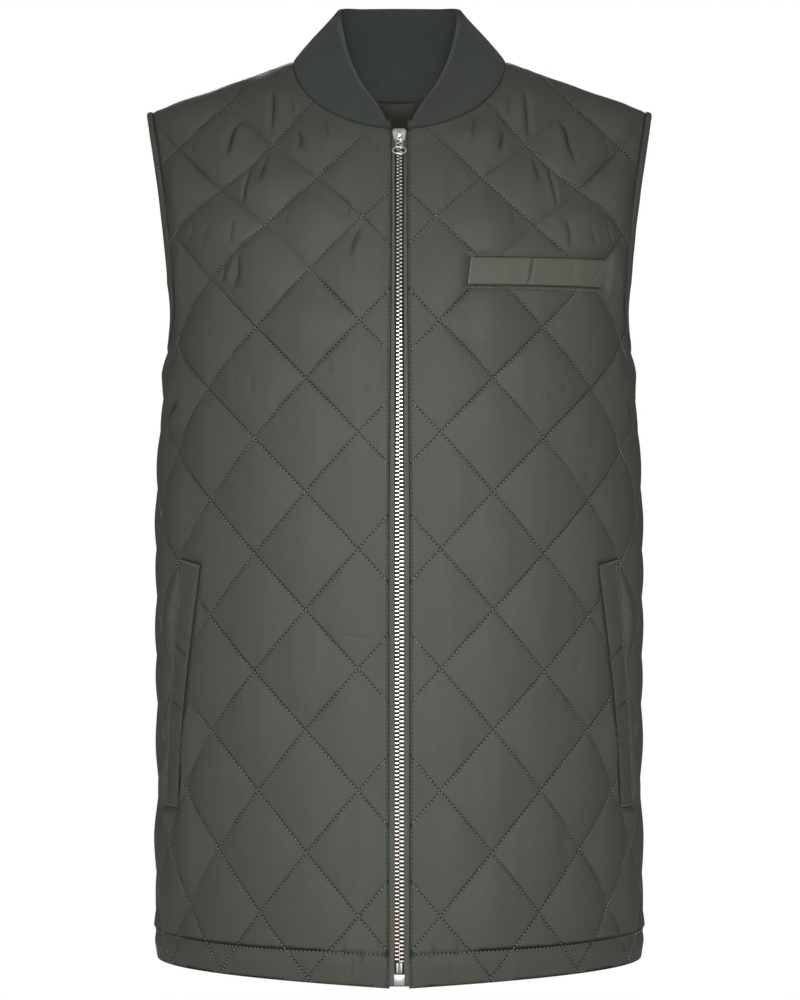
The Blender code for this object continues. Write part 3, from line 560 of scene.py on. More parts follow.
right_creases = (
    (20, 26, ((-945, -295), (-945, -455), (-970, -665))),
    (24, 30, ((-1175, -515), (-1245, -615), (-1265, -735), (-1285, -855))),
    (14, 24, ((-1105, -910), (-1140, -1055), (-1170, -1220))),
    (20, 18, ((-980, -795), (-1010, -920), (-1020, -1045))),
    (24, 20, ((-760, -600), (-735, -705), (-735, -800))),
    (14, 12, ((-555, -465), (-540, -595), (-525, -740))),
    (22, 14, ((-825, -335), (-800, -425), (-795, -535))),
    (14, 20, ((-1510, -1305), (-1535, -1380), (-1565, -1460))),
    (18, 16, ((-1220, -1310), (-1235, -1400), (-1255, -1500))),
    (14, 10, ((-1545, -660), (-1565, -775))),
    (16, 16, ((-1425, -320), (-1490, -340), (-1560, -350))),
    (14, 16, ((-1340, -430), (-1285, -395))),
    (22, 9, ((-1390, -1340), (-1450, -1520))),
    (22, 20, ((-1195, -1560), (-1180, -1700), (-1225, -1855))),
    (18, 18, ((-1295, -1625), (-1310, -1775))),
    (24, 10, ((-832, -1255), (-832, -1375))),
    (18, 15, ((-273, -1330), (-344, -1505), (-356, -1612))),
    (18, 8, ((-359, -1210), (-392, -1304))),
    (20, 8, ((-511, -2385), (-517, -2491))),
    (20, 8, ((-225, -2513), (-250, -2610))),
    (26, 9, ((-1185, -2475), (-1225, -2605))),
    (26, 8, ((-1070, -2450), (-1080, -2665))),
    (22, 20, ((-1645, -2385), (-1705, -2490), (-1770, -2605))),
    (34, 26, ((-1615, -2645), (-1670, -2710), (-1725, -2785))),
    (12, 3, ((-470, -4400), (-130, -4415))),
    (28, 6, ((-840, -4930), (-640, -4960))),
    (28, 6, ((-1250, -5780), (-1230, -5980))),
    (16, 10, ((-270, -6700), (-285, -6870))),
    (16, 9, ((-410, -6660), (-425, -6790))),
    (16, 9, ((-340, -6790), (-360, -6910))),
    (18, 7, ((-1240, -6770), (-1235, -6880))),
    (18, 9, ((-1670, -6680), (-1690, -6830))),
)
tenths_in_metre = 10000
crease_stations = 25
crease_step = 0.0015
# Rows of mesh points beside a crease, in half widths of it
crease_offsets = (-3.0, -2.1, -1.3, -0.75, -0.35, 0.0, 0.35, 0.75, 1.3, 2.1, 3.0)
crease_reach = 8
crease_steep, crease_gentle = 0.7, 2.6
crease_power, crease_taper, crease_uneven = 1.35, 1.1, 0.3
lip_height, lip_at, lip_width = 0.30, 2.6, 1.4
# Painted shade in the bottoms of the deeper folds: its width in half widths, the depth at which it is full,
# its base value and what a full one adds
crease_core, deep_crease = 0.65, 0.0022
crease_shade, deep_shade = 0.73, 0.17


def crease_lines(creases, face):
    """Half width, depth and smooth chart line of each crease, in metres."""
    share = np.linspace(0.0, 1.0, crease_stations)
    found = []
    for width, depth, places in creases:
        x, z = np.array(places).T / tenths_in_metre
        chart = chart_of(np.abs(x), z, face)
        chart[:, 0] *= np.sign(x)
        table = np.column_stack((np.linspace(0.0, 1.0, len(chart)), chart))
        path = np.stack((smooth_column(table, 1, share), smooth_column(table, 2, share)), axis=1)
        found.append((width / tenths_in_metre, depth / tenths_in_metre, path))
    return found


def crease_points(creases, face):
    """Mesh points in rows along each crease, closest together at its bottom."""
    found = []
    for width, _, path in crease_lines(creases, face):
        steps = np.linalg.norm(np.diff(path, axis=0), axis=1)
        run = np.concatenate(([0.0], np.cumsum(steps)))
        at = np.linspace(0.0, run[-1], max(4, round(run[-1] / max(crease_step, 0.8 * width))))
        line = np.stack((np.interp(at, run, path[:, 0]), np.interp(at, run, path[:, 1])), axis=1)
        ahead = np.gradient(line, axis=0)
        across = unit(np.stack((-ahead[:, 1], ahead[:, 0]), axis=1))
        for offset in crease_offsets:
            found.append(line + across * offset * width)
    return np.concatenate(found)


def crease_relief(chart, creases, face):
    """Folds of slack cloth, steep on the inner side and gentle outwards, and the painted shade in each fold's
    bottom.
    """
    height = np.zeros(len(chart))
    folded = np.zeros(len(chart))
    for number, (width, depth, path) in enumerate(crease_lines(creases, face)):
        reach = crease_reach * width
        close = (chart > path.min(axis=0) - reach) & (chart < path.max(axis=0) + reach)
        near = np.flatnonzero(close.all(axis=1))
        gap = np.full(len(near), 9.0)
        share = np.zeros(len(near))
        outward = np.zeros(len(near))
        for i in range(len(path) - 1):
            run = path[i + 1] - path[i]
            rel = chart[near] - path[i]
            along = np.clip(rel @ run / (run @ run), 0.0, 1.0)
            apart = np.linalg.norm(rel - along[:, None] * run, axis=1)
            closer = apart < gap
            share = np.where(closer, (i + along) / (len(path) - 1), share)
            to_side = (run[0] * rel[:, 1] - run[1] * rel[:, 0]) * np.sign(path[0, 0])
            outward = np.where(closer, to_side, outward)
            gap = np.minimum(gap, apart)
        slope = width * np.where(outward > 0, crease_gentle, crease_steep)
        trough = np.exp(-(gap / slope) ** crease_power)
        lips = lip_height * np.exp(-((gap / width - lip_at) / lip_width) ** 2)
        length = np.clip(4 * share * (1 - share), 0.0, 1.0) ** crease_taper
        length *= 1 + crease_uneven * uneven(share * 4, np.full(len(near), number + 0.5))
        height[near] += depth * (lips - trough) * length
        # Painted shade, strongest along the bottom of a deep fold
        core = np.exp(-(gap / (crease_core * width)) ** 2) * length * min(1.0, depth / deep_crease)
        folded[near] = np.maximum(folded[near], core)
    return height, folded


def pucker_relief(row, column, z):
    """Short uneven puckers that run out from both sides of each stitch line."""
    down, over = row - column / 2, row + column / 2
    total = np.zeros(len(row))
    for across, along, seed in ((down, over, 0.0), (over, down, 40.5)):
        line = np.round(across)
        gap = np.abs(across - line) * quilt_pitch
        bank = line * 5.3 + np.where(across > line, 2.4, 0.0) + seed
        swing = uneven(along * quilt_pitch / pucker_length, bank + gap / pucker_bank)
        total += swing * np.exp(-gap / pucker_reach) * (1 - np.exp(-gap / pucker_clear))
    return pucker_height * total * (pucker_least + (1 - pucker_least) * ramp(z, *slack_from))


def puff_profile(swell, gap):
    """Share of the puff at a distance from a stitch line: a quick rise, then a low dome."""
    return puff_rise_share * (1 - np.exp(-gap / puff_rise)) + (1 - puff_rise_share) * swell ** puff_power


def zip_edge(z):
    """Half width of the gap between the fronts' folded edges."""
    return zip_edge_top + (zip_edge_bottom - zip_edge_top) * ramp(-z, *zip_widens_from)


def cloth_relief(chart, points, face, outline, presses, creases):
    """Height of the cloth over its stitched face, and the painted shade at each point: along stitch lines,
    seams, edges and in folds.
    """
    s, t = chart.T
    row, column = quilt_place(s, points[:, 2], face)
    down = np.abs(np.sin(np.pi * (row - column / 2)))
    over = np.abs(np.sin(np.pi * (row + column / 2)))
    down_gap = np.arcsin(np.minimum(down, 1.0)) * quilt_pitch / np.pi
    over_gap = np.arcsin(np.minimum(over, 1.0)) * quilt_pitch / np.pi
    hem_gap = t - hem_line(s, face)
    hang = ramp(np.abs(s), *hem_hang_from)
    below_ridge = ridge_z(np.abs(points[:, 0])) + shoulder_roll * (np.pi / 2 - 1) - t
    # Painted shade follows the distance to the nearest stitch line, hem line, shoulder seam and zip edge
    stitch_gap = np.minimum(down_gap, over_gap + faint_gap * faint_quilting(s, t))
    stitch_gap = np.minimum(stitch_gap, np.abs(hem_gap - hem_shade_rise * hang) - hem_shade_width * hang)
    stitch_gap = np.minimum(stitch_gap, hem_edge_shade * (t - hem_height(s, face)))
    on_shoulder = np.abs(points[:, 0]) > neck_half_width
    stitch_gap = np.where(on_shoulder, np.minimum(stitch_gap, below_ridge), stitch_gap)
    edge = distance_to(chart, outline)
    if face == front:
        zip_gap = np.abs(s) - zip_edge(t)
        stitch_gap = np.minimum(stitch_gap, zip_edge_shade * zip_gap)
        free_edge = outline[np.abs(outline[:, 0]) > zip_edge(outline[:, 1]) + zip_edge_slack]
        fade = smoothstep(distance_to(chart, free_edge, closed=False) / edge_fade)
        fade = fade * smoothstep((zip_gap - topstitch_in) / zip_fade)
        fade = fade * (zip_puff + (1 - zip_puff) * smoothstep(zip_gap / zip_puff_reach))
    else:
        fade = smoothstep(edge / edge_fade)
    in_hem = hem_puff * smoothstep(-hem_gap / hem_puff_fade)
    fade = fade * np.where(hem_gap > 0, smoothstep(hem_gap / hem_fade), in_hem)
    fade = fade * smoothstep(below_ridge / shoulder_fade)
    at_side = np.exp(-((np.abs(s) - side_puff_at) / side_puff_reach) ** 2)
    full = 1 + side_puff * at_side + chest_puff * ramp(t, *chest_from)
    puff = puff_profile(down, down_gap) * puff_profile(over, over_gap) * full
    sag = sag_height * uneven(s / sag_swing[0] + 31.7, t / sag_swing[1] + 17.2) * puff
    height = (puff_height * puff + sag) * fade
    creased, folded = crease_relief(chart, creases, face)
    height += (pucker_relief(row, column, points[:, 2]) + creased) * smoothstep(edge / crease_fade)
    for corners in presses:
        ring = welt_ring(corners, welt_margin)
        covered = is_inside(chart, ring)
        height *= smoothstep(distance_to(chart, ring) / welt_fade)
        height[covered] = -press_depth
        stitch_gap = np.where(covered, painted_shade_reach, stitch_gap)
    height -= edge_dip * np.exp(-(edge / edge_dip_width) ** 2)
    height -= hem_tuck * smoothstep(-hem_gap / hem_depth)
    if face == front:
        height += zip_fold * np.sin(np.pi * np.clip(zip_gap / topstitch_in, 0.0, 1.0))
    nearness = np.clip(1 - stitch_gap / painted_shade_reach, 0.0, 1.0)
    return height, np.maximum(nearness, crease_shade + deep_shade * folded)


def lattice(face, steps, crowding):
    """Chart points of the quilting, a number of steps to each side of a diamond, on one half."""
    half_way = 0.5 * (np.arange(steps // 2) / (steps // 2)) ** crowding
    within = np.concatenate((half_way, 1.0 - np.append(half_way[1:], 0.5)[::-1]))
    lines = (np.arange(-8, 16)[:, None] + within).ravel()
    i, j = np.meshgrid(lines, lines, indexing="ij")
    column, row = (j - i).ravel(), ((i + j) / 2).ravel()
    kept = (row >= -1.0) & (row <= 8.0) & (column >= -1.0) & (column <= 9.0)
    chart, on_cloth = quilt_chart(column[kept], row[kept], face)
    return chart[on_cloth & (chart[:, 0] >= 0.0)]


def triangles(outline, inside):
    """Flat triangles over an outline and the points inside it."""
    flat = [Vector(point) for point in np.concatenate((outline, inside))]
    found = delaunay_2d_cdt(flat, [], [list(range(len(outline)))], 1, 1e-7)
    return np.array([tuple(point) for point in found[0]]), [list(face) for face in found[2]]


def new_piece(name, points, faces, materials, smooth=True):
    mesh = bpy.data.meshes.new(name)
    mesh.from_pydata([tuple(point) for point in points], [], faces)
    for material in materials:
        mesh.materials.append(material)
    if smooth:
        mesh.shade_smooth()
    piece = bpy.data.objects.new(name, mesh)
    scene.collection.objects.link(piece)
    return piece


def lay_cloth_map(piece, chart):
    """UV map in metres along the cloth, so that a weave follows the cut."""
    uv = piece.data.uv_layers.new(name="cloth")
    corners = np.empty(len(piece.data.loops), np.int32)
    piece.data.loops.foreach_get("vertex_index", corners)
    uv.data.foreach_set("uv", np.asarray(chart, np.float32)[corners].ravel())


def mark_points(piece, name, values):
    """Keeps a value for each point of a piece, for its colour there."""
    mark = piece.data.attributes.new(name, "FLOAT", "POINT")
    mark.data.foreach_set("value", np.asarray(values, np.float32))


def along_zip(below_neck, above_hem, step):
    """Heights along the folded edge beside the zip."""
    low = hem_height(zip_edge_bottom, front) + above_hem
    return np.arange(low, cloth_height(0.0, -front_neck_drop) - below_neck, step)


line_step = 0.003
# Rows of mesh points beside the hem's stitches, the shoulder seam and the folded edge at the zip
hem_rows = (-0.0016, -0.0007, 0.0, 0.0007, 0.0016)
ridge_rows = (0.0008, 0.0017, 0.0035, 0.0070)
zip_rows = (0.0005, 0.0011, 0.0016, topstitch_in, 0.0025, 0.0033, 0.0044)
# How far other mesh points keep clear of those rows, and where the hem's rows start on each face
hem_clear, ridge_clear, zip_clear = 0.0028, 0.002, 0.0056
crease_clear, ridge_row_clear, lining_clear = 0.001, 0.0006, 0.006
hem_start = (zip_edge_bottom + 0.0055, 0.0015)


def quilted_cloth(name, face, outline, presses, creases, halves):
    """Quilted cloth over an outline: puffed and creased outside, plain lining inside."""

    def on_halves(points):
        return np.concatenate([points * (half, 1.0) for half in halves])

    def clear(points, least):
        points = np.unique(np.round(points, 7), axis=0)
        points = points[is_inside(points, outline)]
        return points[distance_to(points, outline) > least]

    extra = clear(on_halves(lattice(face, quilt_steps, quilt_crowding)), 0.5 * (quilt_pitch / quilt_steps))
    extra = extra[np.abs(extra[:, 1] - hem_line(extra[:, 0], face)) > hem_clear]
    across = np.arange(hem_start[face], float(side_distance(hem_z, face)) - line_step, line_step)
    rows = []
    for lift in hem_rows:
        rows.append(on_halves(np.stack((across, hem_line(across, face) + lift), axis=1)))
    rows.append(clear(crease_points(creases, face), crease_clear))
    shoulder_end = shoulder_tip_x - armhole_edge_width - ridge_clear
    shoulder_x = np.arange(neck_half_width + ridge_clear, shoulder_end, outline_step)
    shoulder = chart_of(shoulder_x, ridge_z(shoulder_x), face)
    for below in ridge_rows:
        rows.append(clear(on_halves(shoulder - (0.0, below)), ridge_row_clear))
    if face == front:
        t = along_zip(0.0020, 0.0012, line_step)
        for inward in zip_rows:
            rows.append(np.stack(((zip_edge(t) + inward) * halves[0], t), axis=1))
        extra = extra[np.abs(extra[:, 0]) > zip_edge(extra[:, 1]) + zip_clear]
    outer_chart, outer_faces = triangles(outline, np.concatenate([extra] + rows))
    lining_points = clear(on_halves(lattice(face, lining_steps, 1.0)), lining_clear)
    inner_chart, inner_faces = triangles(outline, lining_points)

    points, normals = cloth_frame(outer_chart, face)
    height, line = cloth_relief(outer_chart, points, face, outline, presses, creases)
    outer = points + normals * height[:, None]
    points, normals = cloth_frame(inner_chart, face)
    inner = points - normals * wall

    under = len(outer)
    faces = outer_faces + [[under + i for i in reversed(corners)] for corners in inner_faces]
    rim = len(outline)
    faces += [[(i + 1) % rim, i, under + i, under + (i + 1) % rim] for i in range(rim)]
    if face == back:
        faces = [list(reversed(corners)) for corners in faces]
    piece = new_piece(name, np.concatenate((outer, inner)), faces, (shell, lining))
    lined = np.zeros(len(faces), np.int32)
    lined[len(outer_faces):len(outer_faces) + len(inner_faces)] = 1
    piece.data.polygons.foreach_set("material_index", lined)
    lay_cloth_map(piece, np.concatenate((outer_chart, inner_chart)))
    # Painted shade of the stitch grooves, folds and edges, on the outer face only
    mark_points(piece, "stitch_near", np.concatenate((line, np.zeros(len(inner)))))
    return piece


def signed_area(outline):
    ahead = np.roll(outline, -1, axis=0)
    return float((outline[:, 0] * ahead[:, 1] - ahead[:, 0] * outline[:, 1]).sum()) / 2


def counter_clockwise(outline):
    return outline if signed_area(outline) > 0 else outline[::-1]


one_band = 0.314               # scale at which a wave texture makes one band to each unit


def weave_group():
    """Plain weave: crossing threads, a fine grain, slow streaks along the warp and patches of uneven dye."""
    group = bpy.data.node_groups.new("plain_weave", "ShaderNodeTree")
    group.interface.new_socket("Place", in_out="INPUT", socket_type="NodeSocketVector")
    group.interface.new_socket("Threads per Metre", in_out="INPUT", socket_type="NodeSocketFloat")
    for made in ("Shade", "Streak", "Patch", "Height"):
        group.interface.new_socket(made, in_out="OUTPUT", socket_type="NodeSocketFloat")
    given = add_node(group, "NodeGroupInput").outputs

    def noise(stretch, detail):
        place = add_node(group, "ShaderNodeMapping", {"Vector": given["Place"], "Scale": stretch})
        return add_node(group, "ShaderNodeTexNoise", {
            "Vector": place.outputs["Vector"], "Scale": 1.0, "Detail": detail}).outputs["Fac"]

    scaled = add_node(group, "ShaderNodeVectorMath", {
        0: given["Place"], "Scale": given["Threads per Metre"]}, operation="SCALE")
    waves = []
    for direction in ("X", "Y"):
        waves.append(add_node(group, "ShaderNodeTexWave", {
            "Vector": scaled.outputs["Vector"], "Scale": one_band, "Distortion": 0.6, "Detail": 1.0},
            wave_type="BANDS", bands_direction=direction))
    threads = add_node(group, "ShaderNodeMath", {
        0: waves[0].outputs["Fac"], 1: waves[1].outputs["Fac"]}, operation="ADD")
    streak = noise((90.0, 11.0, 1.0), 3.0)
    grain = noise((520.0, 150.0, 1.0), 2.0)
    shade = add_node(group, "ShaderNodeMix", {"Factor": 0.45, "A": streak, "B": grain})
    patch = add_node(group, "ShaderNodeMapRange", {
        "Value": noise((16.0, 16.0, 1.0), 2.0), "From Min": 0.42, "From Max": 0.62, "To Max": 0.7})
    add_node(group, "NodeGroupOutput", {
        "Shade": shade.outputs["Result"], "Streak": streak, "Patch": patch.outputs["Result"],
        "Height": threads.outputs["Value"]})
    return group


weave = weave_group()


def mixed(tree, share, first, second):
    """Output of a colour between two others, each a colour or an output."""
    ends = [end if isinstance(end, bpy.types.NodeSocket) else (*end, 1.0) for end in (first, second)]
    mix = add_node(tree, "ShaderNodeMix", {"Factor": share, "A": ends[0], "B": ends[1]}, data_type="RGBA")
    return mix.outputs["Result"]


def woven_material(name, dark, light, roughness, threads, bump, shade_colour=None, warm=None, specular=0.5):
    """Woven cloth: two near tones in streaks, warm patches, threads in the bump, and painted shade where its
    points are marked.
    """
    material, tree, shader = new_material(name)
    place = add_node(tree, "ShaderNodeUVMap", uv_map="cloth")
    woven = add_node(tree, "ShaderNodeGroup", {
        "Place": place.outputs["UV"], "Threads per Metre": threads}, node_tree=weave).outputs
    colour = mixed(tree, woven["Shade"], dark, light)
    if warm is not None:
        colour = mixed(tree, woven["Patch"], colour, warm)
    # Painted shade: the cloth turns to the shade colour where its points' painted shade values are high
    if shade_colour is not None:
        seam = add_node(tree, "ShaderNodeAttribute", attribute_name="stitch_near")
        sunk = add_node(tree, "ShaderNodeMapRange", {
            "Value": seam.outputs["Fac"], "From Min": 0.76, "From Max": 0.93})
        colour = mixed(tree, sunk.outputs["Result"], colour, shade_colour)
    raised = add_node(tree, "ShaderNodeBump", {
        "Height": woven["Height"], "Strength": bump, "Distance": 0.0002})
    waved = add_node(tree, "ShaderNodeBump", {
        "Height": woven["Streak"], "Normal": raised.outputs["Normal"], "Strength": 0.25, "Distance": 0.0006})
    give(tree, shader, {"Base Color": colour, "Normal": waved.outputs["Normal"], "Roughness": roughness,
                        "Specular IOR Level": specular})
    return material


# The shell's third colour is painted shade, for its stitch grooves, folds and edges
shell_shade_colour, shell_specular = (0.016, 0.018, 0.014), 0.34
shell = woven_material(
    "shell_cloth", (0.062, 0.072, 0.054), (0.110, 0.120, 0.096), 0.60, 2600.0, 0.10,
    shell_shade_colour, (0.093, 0.092, 0.075), shell_specular)
lining = woven_material("lining_cloth", (0.041, 0.041, 0.033), (0.053, 0.052, 0.043), 0.62, 2400.0, 0.08)

chest_welt_corners = chart_of(
    (0.0493, 0.1523, 0.1568, 0.0521), (-0.1810, -0.1808, -0.1588, -0.1595), front)
side_welt_low, side_welt_top = chart_of((0.1665, 0.1485), (-0.573, -0.388), front)
side_welt_across = np.array((0.024, 0.0))
side_welt_corners = np.array((side_welt_low, side_welt_low + side_welt_across,
                              side_welt_top + side_welt_across + (0.0, 0.0042), side_welt_top))

front_half = half_outline(front)
zip_t = even_line(front_half[-1], front_half[0], outline_step)[1:, 1]
front_outline = counter_clockwise(np.concatenate((front_half, np.stack((zip_edge(zip_t), zip_t), axis=1))))
fronts = (
    ("left", 1.0, front_outline, [chest_welt_corners, side_welt_corners], left_creases),
    ("right", -1.0, counter_clockwise(mirrored(front_outline)), [mirrored(side_welt_corners)], right_creases),
)
for label, side, outline, presses, creases in fronts:
    piece = quilted_cloth(label + "_front_cloth", front, outline, presses, creases, (side,))
    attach(piece, "gilet")
    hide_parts("front_" + label)

# Back: one whole width of the same quilted cloth, sewn to the fronts at the shoulders
# and sides. Its creases are like those of the fronts, in their own places.
back_creases = (
    (21, 20, ((300, -450), (318, -580), (320, -720))),
    (20, 18, ((-420, -420), (-440, -530), (-450, -640))),
    (20, 26, ((880, -400), (898, -550), (930, -700))),
    (22, 28, ((-960, -450), (-1010, -600), (-1030, -780))),
    (18, 26, ((1180, -700), (1215, -850), (1240, -1000))),
    (20, 23, ((-1250, -850), (-1275, -980), (-1290, -1120))),
    (22, 17, ((620, -900), (602, -1020), (600, -1150))),
    (22, 15, ((-130, -1000), (-145, -1240))),
    (19, 18, ((-720, -1150), (-740, -1390))),
    (21, 22, ((1430, -1300), (1458, -1430), (1470, -1560))),
    (22, 20, ((-1480, -1420), (-1520, -1640))),
    (26, 13, ((250, -1650), (240, -1900))),
    (24, 15, ((-980, -1760), (-1000, -1910), (-1000, -2060))),
    (26, 14, ((1010, -1980), (1030, -2280))),
    (23, 26, ((1650, -2450), (1670, -2550), (1720, -2650))),
    (23, 26, ((-1640, -2520), (-1690, -2630), (-1710, -2740))),
    (25, 11, ((480, -2840), (500, -3050))),
    (26, 11, ((-510, -3260), (-480, -3450))),
    (23, 20, ((1700, -3260), (1760, -3440))),
    (23, 20, ((-1700, -3460), (-1760, -3620))),
    (28, 8, ((100, -4420), (230, -4395), (360, -4400))),
    (27, 9, ((-950, -4750), (-920, -4980))),
    (27, 9, ((900, -5650), (920, -5880))),
    (28, 7, ((-300, -6050), (-60, -6080))),
)
back_half = half_outline(back)
back_outline = counter_clockwise(np.concatenate((back_half, mirrored(back_half)[1:-1])))
back_cloth = quilted_cloth("back_cloth", back, back_outline, [], back_creases, (1.0, -1.0))
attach(back_cloth, "gilet")
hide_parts("back")

# Quilting thread: a single row of lockstitches along every line of the diamonds, in
# thread a little lighter than the shell, each stitch pulled down into the wadding.
quilt_stitch = {"Pitch": 0.0031, "Length": 0.0020, "Thread Radius": 0.00038}
stitch_lift = 0.0002
chest_lift = 0.0004            # how much higher the stitches lie under the shoulders
stitch_sink = 0.0013           # and how far those that fall towards the zip sink in there
stitch_drop = 0.0003
quilt_line_step = 0.03
quilt_zip_clear, quilt_edge_clear = 0.0006, 0.0012


def row_tree(name, sockets, shape, pivot="AUTO"):
    """Tree that sets a shape at an even pitch along the lines of a mesh, turned to follow them."""
    tree = bpy.data.node_groups.new(name, "GeometryNodeTree")
    for socket, kind in (("Lines", "Geometry"), ("Pitch", "Float"), *sockets, ("Finish", "Material")):
        tree.interface.new_socket(socket, in_out="INPUT", socket_type="NodeSocket" + kind)
    tree.interface.new_socket("Row", in_out="OUTPUT", socket_type="NodeSocketGeometry")
    given = add_node(tree, "NodeGroupInput").outputs
    path = add_node(tree, "GeometryNodeMeshToCurve", {"Mesh": given["Lines"]})
    spaced = add_node(tree, "GeometryNodeResampleCurve", {
        "Curve": path.outputs["Curve"], "Length": given["Pitch"]}, mode="LENGTH")
    tangent = add_node(tree, "GeometryNodeInputTangent")
    turn = add_node(tree, "FunctionNodeAlignRotationToVector", {
        "Vector": tangent.outputs["Tangent"]}, axis="Z", pivot_axis=pivot)
    laid = add_node(tree, "GeometryNodeInstanceOnPoints", {
        "Points": spaced.outputs["Curve"], "Rotation": turn.outputs["Rotation"], **shape(tree, given)})
    real = add_node(tree, "GeometryNodeRealizeInstances", {"Geometry": laid.outputs["Instances"]})
    made = add_node(tree, "GeometryNodeSetMaterial", {
        "Geometry": real.outputs["Geometry"], "Material": given["Finish"]})
    add_node(tree, "NodeGroupOutput", {"Row": made.outputs["Geometry"]})
    return tree


def stitch(tree, given):
    """A bead of thread, some pulled shorter than others."""
    bead = add_node(tree, "GeometryNodeMeshUVSphere", {"Segments": 6, "Rings": 4, "Radius": 1.0})
    smooth = add_node(tree, "GeometryNodeSetShadeSmooth", {"Geometry": bead.outputs["Mesh"]})
    pull = add_node(tree, "FunctionNodeRandomValue", {2: 0.42, 3: 0.56, "Seed": 5}, data_type="FLOAT")
    half_length = add_node(tree, "ShaderNodeMath", {
        0: given["Length"], 1: pull.outputs[1]}, operation="MULTIPLY")
    size = add_node(tree, "ShaderNodeCombineXYZ", {
        "X": given["Thread Radius"], "Y": given["Thread Radius"], "Z": half_length.outputs["Value"]})
    return {"Instance": smooth.outputs["Geometry"], "Scale": size.outputs["Vector"]}


def settle(piece):
    """Makes what a piece's modifiers show into its own mesh."""
    bpy.context.view_layer.update()
    made = bpy.data.meshes.new_from_object(piece.evaluated_get(bpy.context.evaluated_depsgraph_get()))
    piece.modifiers.clear()
    piece.data = made
    made.name = piece.name


def made_by(tree, name, lines, settings):
    """Plain mesh piece that a node tree makes along open lines of points."""
    points, edges = [], []
    for line in lines:
        edges += [(len(points) + i, len(points) + i + 1) for i in range(len(line) - 1)]
        points += [tuple(point) for point in line]
    mesh = bpy.data.meshes.new(name)
    mesh.from_pydata(points, edges, [])
    piece = bpy.data.objects.new(name, mesh)
    modifier = piece.modifiers.new("make", "NODES")
    modifier.node_group = tree
    for item in tree.interface.items_tree:
        if item.in_out == "INPUT" and item.name in settings:
            modifier[item.identifier] = settings[item.name]
    scene.collection.objects.link(piece)
    settle(piece)
    return piece


def thread_material(name, colour):
    """Matt twisted sewing thread."""
    material, tree, shader = new_material(name)
    place = add_node(tree, "ShaderNodeTexCoord")
    fluff = add_node(tree, "ShaderNodeTexNoise", {"Vector": place.outputs["Object"], "Scale": 900.0})
    dark, light = ([share * part for part in colour] for share in (0.7, 1.3))
    give(tree, shader, {"Base Color": mixed(tree, fluff.outputs["Fac"], dark, light), "Roughness": 0.75})
    return material


quilt_thread = thread_material("quilting_thread", (0.245, 0.265, 0.222))
stitch_tree = row_tree("stitch_row", (("Length", "Float"), ("Thread Radius", "Float")), stitch)


def runs_of(chart, kept):
    """Unbroken runs of kept points, of at least two points each."""
    breaks = np.flatnonzero(np.diff(np.concatenate(([0], kept.astype(int), [0]))))
    return [chart[a:b] for a, b in zip(breaks[::2], breaks[1::2]) if b - a > 1]


def sewn_line(chart, face, outline, presses, creases, lift):
    """Points along a line of stitches, a little above the cloth that it holds down."""
    points, normals = cloth_frame(chart, face)
    height, _ = cloth_relief(chart, points, face, outline, presses, creases)
    return points + normals * (height + lift)[:, None]


def quilting_lines(face, outline, presses, halves):
    """Chart lines of the quilting that lie on the cloth and clear of the welts, each with its lift."""
    column = np.arange(-1.0, 9.0, quilt_line_step)
    found, lifts = [], []
    for number in range(-6, 14):
        for slope in (0.5, -0.5):
            row = number + slope * column
            fits = (row >= -1.0) & (row <= 8.0)
            if fits.sum() < 2:
                continue
            chart, on_cloth = quilt_chart(column[fits], row[fits], face)
            least = zip_edge(chart[:, 1]) + topstitch_in + quilt_zip_clear if face == front else 0.0
            for half in halves:
                there = chart * (half, 1.0)
                kept = on_cloth & (chart[:, 0] > least) & is_inside(there, outline)
                kept &= distance_to(there, outline) > quilt_edge_clear
                for corners in presses:
                    kept &= ~is_inside(there, welt_ring(corners, welt_margin))
                for run in runs_of(there, kept):
                    found.append(run - (0.0, stitch_drop))
                    sunk = stitch_sink * faint_quilting(run[:, 0], run[:, 1]) * (slope < 0)
                    lifts.append(stitch_lift + chest_lift * ramp(run[:, 1], *chest_from) - sunk)
    return found, np.concatenate(lifts)


cloths = []
for label, side, outline, presses, creases in fronts:
    cloths.append((label + "_front", front, outline, presses, creases, (side,)))
cloths.append(("back", back, back_outline, [], back_creases, (1.0, -1.0)))
for label, face, outline, presses, creases, halves in cloths:
    charts, lifts = quilting_lines(face, outline, presses, halves)
    joined = sewn_line(np.concatenate(charts), face, outline, presses, creases, lifts)
    lines = np.split(joined, np.cumsum([len(chart) for chart in charts])[:-1])
    stitches = made_by(stitch_tree, label + "_quilting", lines, {**quilt_stitch, "Finish": quilt_thread})
    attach(stitches, "gilet")

# Topstitching: closer stitches beside the folded edges at the zip, their thread painted dark for the shade of
# the needle holes, and a row of the quilting thread along the turned-up hem. With these the cut of the three
# quilted cloths is complete, and the hem's turned-up depth is part of it.
edge_stitch = {"Pitch": 0.0032, "Length": 0.0018, "Thread Radius": 0.00064}
hem_stitch = {"Pitch": 0.0031, "Length": 0.0019, "Thread Radius": 0.00036}
edge_lift = -0.0001
topstitch_end = 0.003
hem_stitch_end = 0.004
topstitch_step = 0.002
